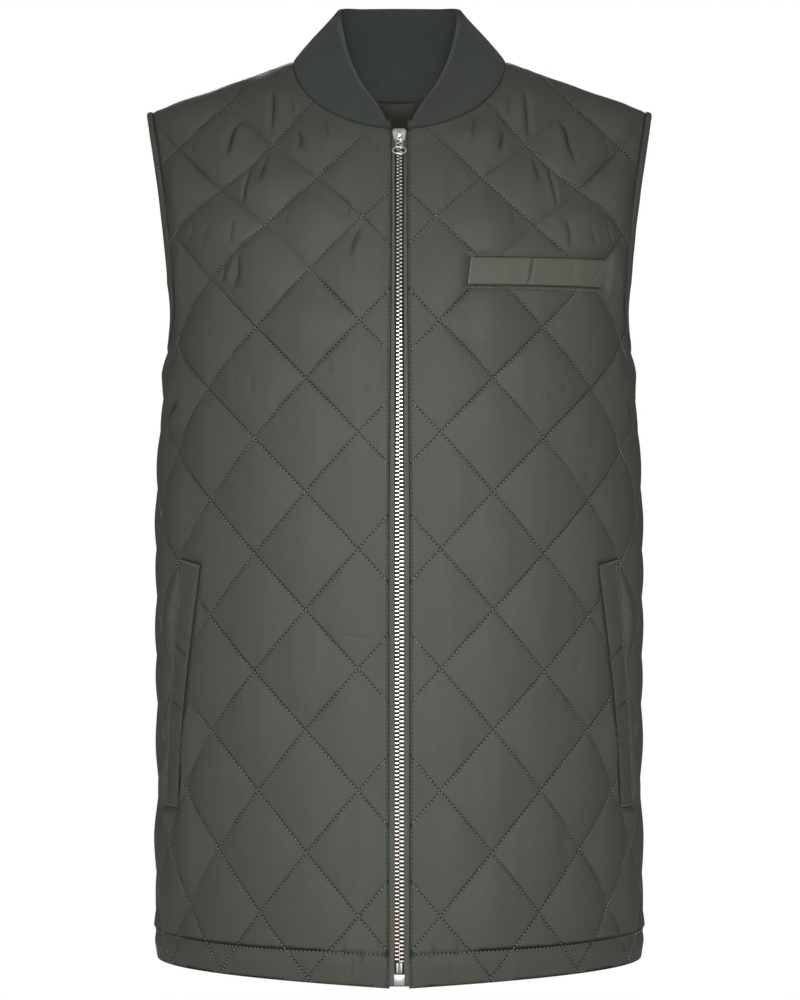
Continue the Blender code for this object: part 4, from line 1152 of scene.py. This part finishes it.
# The edge thread's dark colour is painted shade of its needle holes
edge_thread = thread_material("edge_thread", (0.014, 0.015, 0.012))
for label, side, outline, _, _ in fronts:
    t = along_zip(topstitch_end, topstitch_end, topstitch_step)
    chart = np.stack(((zip_edge(t) + topstitch_in) * side, t), axis=1)
    points = sewn_line(chart, front, outline, [], (), edge_lift)
    stitches = made_by(stitch_tree, label + "_edge_stitches", [points],
                       {**edge_stitch, "Finish": edge_thread})
    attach(stitches, "gilet")
hem_lines = []
for _, face, outline, _, creases, halves in cloths:
    reach = float(side_distance(hem_z, face)) - hem_stitch_end
    start = zip_edge_bottom + hem_stitch_end if face == front else -reach
    across = np.arange(start, reach, topstitch_step) * halves[0]
    chart = np.stack((across, hem_line(across, face)), axis=1)
    hem_lines.append(sewn_line(chart, face, outline, [], creases, stitch_lift))
hem_stitches = made_by(stitch_tree, "hem_stitches", hem_lines, {**hem_stitch, "Finish": quilt_thread})
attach(hem_stitches, "gilet")

# Armhole edges: a narrow strip of the shell turned round each armhole and sewn through,
# a little raised over the cloth beside it.
# Section of the strip: distance in from the edge, height over the cloth
armhole_strip = np.array((
    (0.0055, -0.0008), (0.0048, 0.0004), (0.0040, 0.0008), (0.0026, 0.0010), (0.0012, 0.0007),
    (0.0003, 0.0001), (0.0000, -0.0007), (0.0003, -0.0017), (0.0014, -0.0023), (0.0034, -0.0023),
    (0.0055, -0.0018),
))
# How much painted shade the strip has at a distance in from the edge: at its turned edge and at the seam
# beside the cloth
armhole_shade = np.array(((0.0003, 1.0), (0.0012, 0.82), (0.0026, 0.0), (0.0040, 0.0), (0.0048, 0.88)))
strip_soft, strip_swing = 0.00018, 0.011


def grid_faces(rows, columns, round_rows=True, round_columns=True, flipped=False):
    """Quads between the points of a grid, which may close on itself either way."""
    faces = []
    for r in range(rows if round_rows else rows - 1):
        for c in range(columns if round_columns else columns - 1):
            here, there = r * columns, (r + 1) % rows * columns
            c1 = (c + 1) % columns
            quad = [here + c, here + c1, there + c1, there + c]
            faces.append([quad[0], quad[3], quad[2], quad[1]] if flipped else quad)
    return faces


sides = (("left", 1.0), ("right", -1.0))
for label, side in sides:
    grid, chart_rows = [], []
    for inset, height in armhole_strip:
        front_points, front_normals = cloth_frame(armhole_chart(front, inset), front)
        back_points, back_normals = cloth_frame(armhole_chart(back, inset), back)
        points = np.concatenate((front_points, back_points[-2:0:-1]))
        normals = np.concatenate((front_normals, back_normals[-2:0:-1]))
        steps = np.linalg.norm(np.diff(points, axis=0, append=points[:1]), axis=1)
        run = np.concatenate(([0.0], np.cumsum(steps)[:-1]))
        soft = strip_soft * uneven(run / strip_swing + 3.0 * side, np.full(len(run), inset / 0.002))
        grid.append(points + normals * (height + soft * (height > 0))[:, None])
        chart_rows.append(np.stack((run, np.full(len(run), inset * 1.6 - height)), axis=1))
    grid, chart_rows = np.array(grid), np.array(chart_rows)
    if side < 0:
        grid, chart_rows = grid[:, ::-1] * (-1.0, 1.0, 1.0), chart_rows[:, ::-1]
    strip = new_piece(label + "_armhole_strip", grid.reshape(-1, 3), grid_faces(*grid.shape[:2]), (shell,))
    lay_cloth_map(strip, chart_rows.reshape(-1, 2))
    painted_edge_shade = np.interp(armhole_strip[:, 0], armhole_shade[:, 0], armhole_shade[:, 1])
    mark_points(strip, "stitch_near", np.repeat(painted_edge_shade, grid.shape[1]))
    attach(strip, "gilet")
    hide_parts("armhole_edge_" + label)

# Pocket welts: folded strips of the shell, one straight on the chest and one slanted on
# each side, stitched down at their ends. The slack of the fold creases across them.
welt_thick = 0.0009
welt_edge, welt_fold = 0.35, 0.0014
welt_crown, welt_crown_in = 0.0004, 0.005
side_welt_bow = 0.0033         # how far a side pocket's edges curve out towards the side
welt_step, welt_middle_in = 0.0013, 0.0028
welt_ends = np.array((0.0, 0.0004, 0.0009, 0.0016))
welt_stitch = {"Pitch": 0.0025, "Length": 0.0017, "Thread Radius": 0.00034}
welt_stitch_lift, welt_seam_lift = 0.00015, 0.0004
welt_end_in, side_welt_line_in, chest_seam_below = 0.0018, 0.0040, 0.0021
welt_crease_fade, welt_crease_lip = 0.004, 0.4
# Painted shade in the welts' crease bottoms: where along the welt it is strongest and how far it reaches, its
# width, the depth at which it is full, and what a full one adds
welt_crease_at, welt_crease_reach = 0.6, 0.45
welt_crease_core, deep_welt_crease, deep_welt_shade = 0.6, 0.0013, 0.15
# Creases across a welt: share along at the top and at the bottom, half width, depth
chest_welt_creases = (
    (0.413, 0.415, 0.0013, 0.0014), (0.30, 0.34, 0.004, 0.0003), (0.70, 0.73, 0.004, 0.0004),
    (0.955, 0.88, 0.0018, 0.0004), (0.985, 0.93, 0.0016, 0.0003), (0.12, 0.10, 0.004, 0.0003))
side_welt_creases = (
    (0.66, 0.61, 0.0022, 0.0013), (0.44, 0.40, 0.0020, 0.0015), (0.53, 0.50, 0.0026, 0.0006),
    (0.24, 0.27, 0.0030, 0.0005), (0.82, 0.85, 0.0034, 0.0004), (0.08, 0.06, 0.0028, 0.0006))


def welt_size(corners):
    """Width along a welt's lower edge, and height along its first side."""
    return [float(np.linalg.norm(corners[i] - corners[0])) for i in (1, 3)]


def welt_spacing(length):
    """Shares along a welt's side, closer together at its folded ends."""
    count = max(3, round(length / welt_step))
    middle = np.linspace(welt_middle_in, length - welt_middle_in, count)
    return np.concatenate((welt_ends, middle, (length - welt_ends)[::-1])) / length


def welt_surface(corners, u, v, creases, along_v):
    """A welt's face at shares u across and v up, its height, and its painted shade at the edges and in the
    creases.
    """
    low_left, low_right, top_right, top_left = corners
    low = low_left + (low_right - low_left) * u[..., None]
    top = top_left + (top_right - top_left) * u[..., None]
    chart = low + (top - low) * v[..., None]
    if along_v:
        chart[..., 0] += side_welt_bow * np.sin(np.pi * (1 - v) ** 1.5)
    width, height = welt_size(corners)
    inward = np.minimum.reduce((u * width, (1 - u) * width, v * height, (1 - v) * height))
    lift = seam_gap + welt_thick * (welt_edge + (1 - welt_edge) * smoothstep(inward / welt_fold))
    lift = lift + welt_crown * np.minimum(1.0, inward / welt_crown_in)
    # Painted shade, darker towards the welt's edges
    near = np.clip(1 - inward / painted_shade_reach, 0.0, 1.0)
    run, over, length = (v, u, height) if along_v else (u, v, width)
    for top_share, low_share, half_width, depth in creases:
        at = low_share + (top_share - low_share) * over
        gap = np.abs(run - at) * length
        lip = welt_crease_lip * np.exp(-((gap - 2 * half_width) / half_width) ** 2)
        trough = np.exp(-(gap / half_width) ** 2) - lip
        lift = lift - depth * trough * smoothstep(inward / welt_crease_fade)
        up_fold = (over - welt_crease_at) / welt_crease_reach
        folded = np.exp(-(gap / (welt_crease_core * half_width)) ** 2 - up_fold ** 2)
        folded = folded * min(1.0, depth / deep_welt_crease)
        near = np.maximum(near, crease_shade + deep_welt_shade * folded)
    points, normals = cloth_frame(chart.reshape(-1, 2), front)
    return chart, points.reshape(*u.shape, 3), normals.reshape(*u.shape, 3), lift, near


def welt_piece(name, corners, side, creases, along_v, cloth):
    """Welt as a thin closed pad that follows the cloth."""
    width, height = welt_size(corners)
    v, u = np.meshgrid(welt_spacing(height), welt_spacing(width), indexing="ij")
    chart, points, normals, lift, near = welt_surface(corners, u, v, creases, along_v)
    outer = points + normals * lift[..., None]
    inner = points + normals * seam_gap
    if side < 0:
        outer, inner = outer[:, ::-1] * (-1.0, 1.0, 1.0), inner[:, ::-1] * (-1.0, 1.0, 1.0)
        chart, near = chart[:, ::-1], near[:, ::-1]
    rows, columns = u.shape
    under = rows * columns
    faces = []
    for quad in grid_faces(rows, columns, False, False):
        faces += [quad, [under + i for i in reversed(quad)]]
    border = list(range(columns)) + [r * columns + columns - 1 for r in range(1, rows)]
    border += [under - 1 - c for c in range(1, columns)] + [r * columns for r in range(rows - 2, 0, -1)]
    for a, b in zip(border, border[1:] + border[:1]):
        faces.append([b, a, under + a, under + b])
    piece = new_piece(name, np.concatenate((outer.reshape(-1, 3), inner.reshape(-1, 3))), faces, (cloth,))
    lay_cloth_map(piece, np.tile(chart.reshape(-1, 2), (2, 1)))
    mark_points(piece, "stitch_near", np.tile(near.ravel(), 2))
    return piece


# A lighter copy of the shell for the chest welt: painted light on its face
painted_lit_shell = woven_material(
    "pressed_shell_cloth", (0.096, 0.110, 0.084), (0.143, 0.157, 0.125), 0.58, 2600.0, 0.10,
    shell_shade_colour, (0.129, 0.128, 0.104), shell_specular)
welt_lines = []
for node, corners, side, creases, along_v, cloth in (
        ("chest_welt", chest_welt_corners, 1.0, chest_welt_creases, False, painted_lit_shell),
        ("side_welt_left", side_welt_corners, 1.0, side_welt_creases, True, shell),
        ("side_welt_right", side_welt_corners, -1.0, side_welt_creases, True, shell)):
    piece = welt_piece(node + "_cloth", corners, side, creases, along_v, cloth)
    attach(piece, "gilet")
    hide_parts(node)
    width, height = welt_size(corners)
    share = np.linspace(0.03, 0.97, 80)
    if along_v:
        sewn = ((1 - side_welt_line_in / width, share), (share, 1 - welt_end_in / height),
                (share, welt_end_in / height))
    else:
        sewn = ((welt_end_in / width, share), (1 - welt_end_in / width, share))
    for places in sewn:
        u, v = np.broadcast_arrays(*places)
        _, points, normals, lift, _ = welt_surface(corners, u, v, creases, along_v)
        welt_lines.append((points + normals * (lift + welt_stitch_lift)[..., None]) * (side, 1.0, 1.0))
low_edge = chest_welt_corners[:2] - (0.0, chest_seam_below)
below_welt = even_line(low_edge[0], low_edge[1], topstitch_step)
welt_lines.append(sewn_line(below_welt, front, front_outline, [chest_welt_corners], (), welt_seam_lift))
welt_thread = made_by(stitch_tree, "welt_stitches", welt_lines, {**welt_stitch, "Finish": quilt_thread})
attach(welt_thread, "gilet")

# Collar: one band of fine rib knit, sewn into the neck and tapered to nothing at both
# front ends. It stands up at the back, and its ribs run from the seam to the top edge.
# Share of the seam from front to back, and where the top edge lies there
collar_rows = np.array((
    (0.00, 0.0080, -0.0900, -0.0570),
    (0.10, 0.0170, -0.0760, -0.0410),
    (0.22, 0.0290, -0.0570, -0.0230),
    (0.34, 0.0380, -0.0360, -0.0030),
    (0.46, 0.0440, -0.0140, 0.0190),
    (0.58, 0.0475, 0.0090, 0.0360),
    (0.68, 0.0475, 0.0280, 0.0432),
    (0.84, 0.0290, 0.0500, 0.0460),
    (1.00, 0.0000, 0.0580, 0.0470),
    (1.16, -0.0290, 0.0500, 0.0460),
))
collar_wall = 0.0035
collar_bulge = 0.0025
collar_seam_gap = 0.0004
fold_rise, fold_steps = 0.0014, 5
rib_pitch = 0.0018
rib_height = 0.0005
rib_points = 4                 # points across each rib
rib_power, rib_start = 0.8, 0.03
inner_rib = 0.7                # height of the ribs inside, against those outside
shaded_fold = 0.25             # how light the knit's top edge is painted at the back, where it carries painted shade
front_fold = (0.50, 0.12)      # where along the seam that painted shade sets in, and over what share of it
knit_courses = 900.0           # rows of loops to a metre
row_rise = 0.005

seam_front = cloth_frame(neck_chart(front)[::-1], front)
seam_back = cloth_frame(neck_chart(back), back)
neck_points, neck_normals = (np.concatenate((a, b[1:])) for a, b in zip(seam_front, seam_back))
neck_steps = np.linalg.norm(np.diff(neck_points, axis=0), axis=1)
neck_length = 2 * float(neck_steps.sum())
neck_share = np.concatenate(([0.0], np.cumsum(neck_steps))) / neck_steps.sum()
rib_count = round(neck_length / rib_pitch)


def collar_face(shares, heights):
    """Middle of the band between the neck seam and the top edge, and the seam's normals."""
    near = np.minimum(shares, 2 - shares)
    mirror = np.where(shares > 1, -1.0, 1.0)[:, None] ** (1, 0, 0)
    low = np.stack([np.interp(near, neck_share, neck_points[:, k]) for k in range(3)], axis=1)
    low_normals = np.stack([np.interp(near, neck_share, neck_normals[:, k]) for k in range(3)], axis=1)
    top = np.stack([smooth_column(collar_rows, k, near) for k in (1, 2, 3)], axis=1)
    low = low + (top - low) * collar_seam_gap / np.linalg.norm(top - low, axis=1, keepdims=True)
    low, low_normals, top = low * mirror, low_normals * mirror, top * mirror
    return low + (top - low) * heights[:, None, None], low_normals


rib_shares = np.linspace(0.0, 2.0, rib_points * rib_count + 1)
band_heights = np.concatenate(((0.0, 0.02), np.linspace(0.06, 1.0, 15)))
band, band_seam_normals = collar_face(rib_shares, band_heights)
band_out = unit(np.cross(np.gradient(band, axis=1), np.gradient(band, axis=0)))
band_out[0] = unit(band_seam_normals)
band_bulge = collar_bulge * np.sin(np.pi * band_heights)[:, None]
rib = (0.5 - 0.5 * np.cos(2 * np.pi * np.arange(len(rib_shares)) / rib_points)) ** rib_power
rib_rise = rib_height * rib[None, :] * smoothstep(band_heights / rib_start)[:, None]
outer = band + band_out * (band_bulge + rib_rise)[..., None]
inner = band - band_out * (collar_wall - band_bulge + inner_rib * rib_rise)[..., None]
fold_up = unit(band[-1] - band[-2])
fold_middle = (outer[-1] + inner[-1]) / 2
fold = []
for swing in np.linspace(0.0, math.pi, fold_steps + 1)[1:-1]:
    across = (outer[-1] - fold_middle) * math.cos(swing)
    fold.append(fold_middle + across + fold_up * fold_rise * math.sin(swing))
loop = np.concatenate((outer, np.array(fold), inner[::-1]))
loop_rows, loop_columns = loop.shape[:2]
collar_faces = grid_faces(loop_rows, loop_columns, round_columns=False)
collar_faces.append([r * loop_columns for r in range(loop_rows)])
collar_faces.append([r * loop_columns + loop_columns - 1 for r in reversed(range(loop_rows))])

knit, knit_tree, knit_shader = new_material("rib_knit_wool")
knit_place = add_node(knit_tree, "ShaderNodeUVMap", uv_map="cloth")
# Painted light and shade on the knit: darker in the ribs' valleys, lighter on their crests
knit_light = add_node(knit_tree, "ShaderNodeAttribute", attribute_name="rib_crest")
knit_loops = add_node(knit_tree, "ShaderNodeTexWave", {
    "Vector": knit_place.outputs["UV"], "Scale": knit_courses * one_band, "Distortion": 1.0},
    wave_type="BANDS", bands_direction="Y")
knit_bump = add_node(knit_tree, "ShaderNodeBump", {
    "Height": knit_loops.outputs["Fac"], "Strength": 0.4, "Distance": 0.0003})
give(knit_tree, knit_shader, {
    "Base Color": mixed(knit_tree, knit_light.outputs["Fac"], (0.024, 0.028, 0.024), (0.108, 0.121, 0.108)),
    "Normal": knit_bump.outputs["Normal"], "Roughness": 0.95, "Specular IOR Level": 0.2,
    "Sheen Weight": 0.10, "Sheen Roughness": 0.5})

collar = new_piece("collar_band", loop.reshape(-1, 3), collar_faces, (knit,))
lay_cloth_map(collar, np.stack((np.tile(rib_shares * neck_length / 2, loop_rows),
                                np.repeat(row_rise * np.arange(loop_rows), loop_columns)), axis=1))
# The top edge is painted light at the front and painted shade at the back
knit_light_rows = np.tile(rib, (loop_rows, 1))
front_share = 1 - ramp(np.minimum(rib_shares, 2 - rib_shares), *front_fold)
knit_light_rows[len(outer) - 1:len(outer) + len(fold)] = shaded_fold + (1 - shaded_fold) * front_share
mark_points(collar, "rib_crest", knit_light_rows.ravel())
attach(collar, "gilet")
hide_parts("collar")

# Zip tapes: a woven strip between each folded edge and the teeth, with a thicker cord along the teeth that
# they are clamped on. Thin, it goes on behind the teeth, and there and just beside them it carries painted
# shade.
zip_plane = -0.0010
chain_half_width = 0.0030
chain_top_z, chain_bottom_z = -0.0665, -0.6815
tape_top_z, tape_bottom_z = -0.0625, -0.6992
tape_overlap = 0.0005
tape_middle_gap = 0.0001
# Section of a tape: share of its width from the teeth, half thickness, how much painted shade it has
tape_section = (
    (-1.3, 0.00030, 1.0), (0.0, 0.00030, 1.0), (0.08, 0.00060, 0.80), (0.22, 0.00062, 0.0),
    (0.34, 0.00045, 0.0), (0.60, 0.00042, 0.0), (1.0, 0.00042, 0.0))


def zip_line(z):
    """Points and normals of the stitched face along the middle of the front."""
    z = np.asarray(z, float)
    points, normals = cloth_frame(np.stack((np.full(z.shape, 1e-6), cloth_height(0.0, z)), axis=1), front)
    points[:, 0] = 0.0
    normals[:, 0] = 0.0
    return points, unit(normals)


# The tape's third colour is painted shade beside and under the teeth
tape = woven_material(
    "zip_tape_weave", (0.108, 0.105, 0.089), (0.148, 0.143, 0.123), 0.85, 1300.0, 0.5, (0.020, 0.019, 0.016))
tape_z = np.linspace(tape_bottom_z, tape_top_z, 180)
tape_middle, tape_normals = zip_line(tape_z)
tape_middle = tape_middle + tape_normals * zip_plane
tape_near = chain_half_width + seam_gap
tape_far = zip_edge(tape_z) + tape_overlap
for label, side in sides:
    rows, shades = [], []
    for face_side, section in ((1.0, tape_section), (-1.0, tape_section[::-1])):
        for share, half_thick, shade in section:
            x = np.maximum(tape_near + (tape_far - tape_near) * share, tape_middle_gap) * side
            across = np.stack((x, 0 * x, 0 * x), axis=1)
            rows.append(tape_middle + across + tape_normals * half_thick * face_side)
            shades.append(shade)
    grid = np.array(rows)
    if side < 0:
        grid = grid[::-1]
    row_count, column_count = grid.shape[:2]
    faces = grid_faces(row_count, column_count, round_columns=False, flipped=True)
    faces.append([r * column_count for r in reversed(range(row_count))])
    faces.append([r * column_count + column_count - 1 for r in range(row_count)])
    piece = new_piece(label + "_zip_tape", grid.reshape(-1, 3), faces, (tape,))
    lay_cloth_map(piece, grid.reshape(-1, 3)[:, [0, 2]])
    mark_points(piece, "stitch_near", np.repeat(shades, column_count))
    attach(piece, "gilet")
    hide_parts("zip_tape_" + label)

# Zip teeth: cast metal teeth clamped along both tapes, the two rows meshed half a pitch apart all the way
# down. Silver above, with a painted warm reflection lower down.
tooth_pitch = 0.00295
tooth_thick = 0.0026
teeth_below_top, teeth_above_foot = 0.0026, 0.0011
chain_narrow = 0.70            # share of their width that the teeth show above the chest
chain_widening = 0.38          # and how much more below it
chain_widens_from = (0.21, 0.20)
sharp_tooth = math.radians(35)
# Outline of a tooth: distance from the middle line, half height
tooth_outline = ((0.0001, 0.00026), (0.0005, 0.00042), (0.0010, 0.00052), (0.0015, 0.00056),
                 (0.0026, 0.00056), (0.0030, 0.00042))
# Its layers from face to back: share of its thickness, share of its outline
tooth_layers = ((-0.5, 0.84), (-0.40, 1.0), (0.40, 1.0), (0.5, 0.84))


def metal_material(name, upper, lower, smoothest, roughest):
    """Polished zip metal: brushed unevenness, and a painted warm reflection that sets in down the zip."""
    material, tree, shader = new_material(name)
    place = add_node(tree, "ShaderNodeTexCoord").outputs["Object"]
    parts = add_node(tree, "ShaderNodeSeparateXYZ", {"Vector": place})
    down = add_node(tree, "ShaderNodeMapRange", {
        "Value": parts.outputs["Z"], "From Min": -0.22, "From Max": -0.52})
    worn = add_node(tree, "ShaderNodeTexNoise", {"Vector": place, "Scale": 700.0, "Detail": 3.0})
    gloss = add_node(tree, "ShaderNodeMapRange", {
        "Value": worn.outputs["Fac"], "To Min": smoothest, "To Max": roughest})
    give(tree, shader, {
        "Base Color": mixed(tree, down.outputs["Result"], upper, lower),
        "Roughness": gloss.outputs["Result"], "Metallic": 1.0})
    return material


# The teeth's lower, warmer colour is a painted reflection
zip_metal = metal_material("zip_metal_polished", (0.86, 0.84, 0.80), (0.88, 0.75, 0.66), 0.27, 0.44)


def tooth_shape(name, side):
    """One tooth about the middle line, its face at -Y, softened at the edges."""
    upper = [(x * side, h) for x, h in tooth_outline]
    ring = upper + [(x, -h) for x, h in reversed(upper)]
    if side > 0:
        ring = ring[::-1]
    count = len(ring)
    middle = sum(x for x, _ in ring) / count
    points = []
    for y, grow in tooth_layers:
        points += [(middle + (x - middle) * grow, y * tooth_thick, h * grow) for x, h in ring]
    faces = grid_faces(len(tooth_layers), count, round_rows=False, flipped=True)
    faces.append(list(range(count)))
    faces.append([len(points) - count + i for i in reversed(range(count))])
    return new_piece(name, points, faces, (), smooth=False)


def given_tooth(tree, given):
    shape = add_node(tree, "GeometryNodeObjectInfo", {"Object": given["Tooth"]})
    return {"Instance": shape.outputs["Geometry"]}


tooth_tree = row_tree("row_of_teeth", (("Tooth", "Object"),), given_tooth, pivot="X")
for (label, side), shift in zip(sides, (0.0, 0.5)):
    tooth = tooth_shape(label + "_tooth", side)
    ends = (chain_bottom_z + teeth_above_foot, chain_top_z - teeth_below_top)
    z = np.linspace(*ends, 300) + shift * tooth_pitch
    points, normals = zip_line(z)
    row = made_by(tooth_tree, label + "_zip_teeth", [points + normals * zip_plane],
                  {"Pitch": tooth_pitch, "Tooth": tooth, "Finish": zip_metal})
    bpy.data.objects.remove(tooth, do_unlink=True)
    row.data.set_sharp_from_angle(angle=sharp_tooth)
    places = np.empty(3 * len(row.data.vertices), np.float32)
    row.data.vertices.foreach_get("co", places)
    places[0::3] *= chain_narrow + chain_widening * ramp(-places[2::3], *chain_widens_from)
    row.data.vertices.foreach_set("co", places)
    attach(row, "gilet")
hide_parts("zip_chain")

# Slider, pull, pins and box: cast and bent metal of the zip's ends. The slider stands
# at the top of the chain, the loop pull hangs from the bridge on its face, and the two
# pins at the foot of the tapes are held in the box.
slider_z = -0.0664
slider_length = 0.0110
slider_top_width, slider_low_width = 0.0112, 0.0080
slider_back_width = 0.86       # of the back plate, against the front one
plate_thick = 0.0014
plate_front, plate_back = 0.0006, -0.0026
neck_half, neck_low, neck_point, neck_sunk = 0.0015, 0.0030, 0.0012, 0.0004
bridge_length, bridge_height, bridge_bar, bridge_width, bridge_drop = 0.0070, 0.0032, 0.0012, 0.0026, 0.0015
bridge_sunk, arch_steps = 0.0004, 14
slider_bevel, box_bevel, pin_bevel = 0.00035, 0.0005, 0.00025
bevel_from, sharp_from = math.radians(35), math.radians(50)
pull_wire = 0.00055
pull_width, pull_leg = 0.0060, 0.0120
pull_ring = (0.0112, 0.0072)
pull_tilt = math.radians(3.0)
box_top_z, box_bottom_z, box_half_width, box_thick = -0.6900, -0.6985, 0.0042, 0.0040
pin_bottom_z, pin_x, pin_half = -0.6895, 0.0014, 0.0008
cast_metal = metal_material("zip_slider_polished", (0.88, 0.86, 0.82), (0.88, 0.86, 0.82), 0.25, 0.42)
foot_metal = metal_material("zip_foot_polished", (0.48, 0.48, 0.49), (0.48, 0.48, 0.49), 0.32, 0.48)


def zip_frame(z):
    """Placing at the zip: local X across, -Y out of the garment, Z up along the zip."""
    points, normals = zip_line(np.array((z,)))
    out = Vector(normals[0])
    across = Vector((1.0, 0.0, 0.0))
    turn = Matrix((across, -out, across.cross(-out))).transposed().to_4x4()
    return Matrix.Translation(Vector(points[0])) @ turn


def plate(outline, low_y, high_y, place):
    """Flat plate in its own XZ plane between two depths, as points and faces."""
    count = len(outline)
    points = [place @ Vector((x, low_y, z)) for x, z in outline]
    points += [place @ Vector((x, high_y, z)) for x, z in outline]
    faces = [list(range(count)), [count + i for i in reversed(range(count))]]
    faces += [[(i + 1) % count, i, count + i, count + (i + 1) % count] for i in range(count)]
    return points, faces


def block(middle_x, half_width, top_z, bottom_z, thick):
    """Upright block on the zip between two heights, as points and faces."""
    half = (top_z - bottom_z) / 2
    left, right = middle_x - half_width, middle_x + half_width
    outline = [(left, -half), (right, -half), (right, half), (left, half)]
    return plate(outline, -zip_plane - thick / 2, -zip_plane + thick / 2, zip_frame((top_z + bottom_z) / 2))


def wire(path, radius, closed, place, around=10):
    """Round wire along a path in the XZ plane, as points and faces."""
    path = np.array(path, float)
    if closed:
        ahead = np.roll(path, -1, axis=0) - np.roll(path, 1, axis=0)
    else:
        ahead = np.gradient(path, axis=0)
    ahead = unit(ahead)
    over = unit(np.cross(ahead, (0.0, 1.0, 0.0)))
    under = np.cross(ahead, over)
    points = []
    for centre, a, b in zip(path, over, under):
        for k in range(around):
            swing = 2 * math.pi * k / around
            points.append(place @ Vector(centre + radius * (a * math.cos(swing) + b * math.sin(swing))))
    faces = grid_faces(len(path), around, round_rows=closed)
    if not closed:
        faces.append(list(reversed(range(around))))
        faces.append([len(points) - around + k for k in range(around)])
    return points, faces


def metal_piece(name, parts, bevel, metal):
    """One piece of several closed parts, with softened edges."""
    points, faces = [], []
    for part_points, part_faces in parts:
        faces += [[len(points) + i for i in corners] for corners in part_faces]
        points += part_points
    piece = new_piece(name, points, faces, (metal,))
    if bevel:
        soft = piece.modifiers.new("soft_edges", "BEVEL")
        soft.width = bevel
        soft.segments = 3
        soft.limit_method = "ANGLE"
        soft.angle_limit = bevel_from
        settle(piece)
    piece.data.set_sharp_from_angle(angle=sharp_from)
    return piece


slider_place = zip_frame(slider_z)
half = slider_length / 2
half_top = slider_top_width / 2
slider_side = [(slider_low_width / 2, -half), (half_top * 0.92, half * 0.10), (half_top, half * 0.45),
               (half_top * 0.86, half * 0.86), (half_top * 0.60, half)]
slider_outline = slider_side + [(-x, z) for x, z in reversed(slider_side)]
slider_outline = slider_outline[-1:] + slider_outline[:-1]
slider_back = [(x * slider_back_width, z) for x, z in slider_outline]
neck_top = half - neck_sunk
neck_outline = [(-neck_half, neck_low), (0.0, neck_point), (neck_half, neck_low),
                (neck_half, neck_top), (-neck_half, neck_top)]
face_y = -(plate_front + plate_thick)
arch = []
for swing in np.linspace(0.0, math.pi, arch_steps + 1):
    arch.append((face_y - bridge_height * math.sin(swing), bridge_length / 2 * math.cos(swing) - bridge_drop))
for swing in np.linspace(math.pi, 0.0, arch_steps + 1):
    arch.append((face_y - (bridge_height - bridge_bar) * math.sin(swing) + bridge_sunk,
                 (bridge_length / 2 - bridge_bar) * math.cos(swing) - bridge_drop))
bridge_points = [slider_place @ Vector((-bridge_width / 2, y, z)) for y, z in arch]
bridge_points += [slider_place @ Vector((bridge_width / 2, y, z)) for y, z in arch]
count = len(arch)
bridge_faces = []
for i in range(arch_steps):
    j = count - 1 - i
    bridge_faces += [[i, i + 1, j - 1, j], [count + j, count + j - 1, count + i + 1, count + i]]
for i in range(count):
    k = (i + 1) % count
    bridge_faces.append([k, i, count + i, count + k])
slider = metal_piece("slider_metal", [
    plate(slider_outline, face_y, -plate_front, slider_place),
    plate(slider_back, -plate_back, -plate_back + plate_thick, slider_place),
    plate(neck_outline, -plate_front - neck_sunk, -plate_back + neck_sunk, slider_place),
    (bridge_points, bridge_faces)], slider_bevel, cast_metal)
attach(slider, "gilet")
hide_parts("zip_slider")

pivot_y = face_y - (bridge_height - bridge_bar) / 2
pull_place = slider_place @ Matrix.Translation((0.0, pivot_y, -bridge_drop))
pull_place = pull_place @ Matrix.Rotation(pull_tilt, 4, "X")
ring_width, ring_height = pull_ring
ring_z = -pull_leg - ring_height / 2 + 2 * pull_wire
half_wire = pull_width / 2 - pull_wire
ring_path = []
for swing in np.linspace(0.0, 2 * math.pi, 40, endpoint=False):
    ring_path.append(((ring_width / 2 - pull_wire) * math.cos(swing), 0.0,
                      ring_z + (ring_height / 2 - pull_wire) * math.sin(swing)))
# One leg of the loop up to its bend under the bridge: distance from the middle, height
leg = ((half_wire, -pull_leg + 0.0002), (half_wire, -0.0030), (half_wire, -0.0008),
       (half_wire - 0.0003, -0.0002), (half_wire - 0.0009, 0.0))
leg_path = [(-x, 0.0, z) for x, z in leg] + [(0.0, 0.0, 0.0)] + [(x, 0.0, z) for x, z in reversed(leg)]
pull = metal_piece("pull_loop", [wire(ring_path, pull_wire, True, pull_place),
                                 wire(leg_path, pull_wire, False, pull_place)], 0.0, cast_metal)
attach(pull, "pull_tab")
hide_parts("zip_pull")

box = metal_piece("zip_foot_box", [
    block(0.0, box_half_width, box_top_z, box_bottom_z, box_thick)], box_bevel, foot_metal)
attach(box, "gilet")
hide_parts("zip_box")
for label, side in sides:
    pin = metal_piece(label + "_zip_pin", [
        block(side * pin_x, pin_half, chain_bottom_z - seam_gap, pin_bottom_z, 2 * pin_half)],
        pin_bevel, foot_metal)
    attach(pin, "gilet")
    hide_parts("zip_pin_" + label)
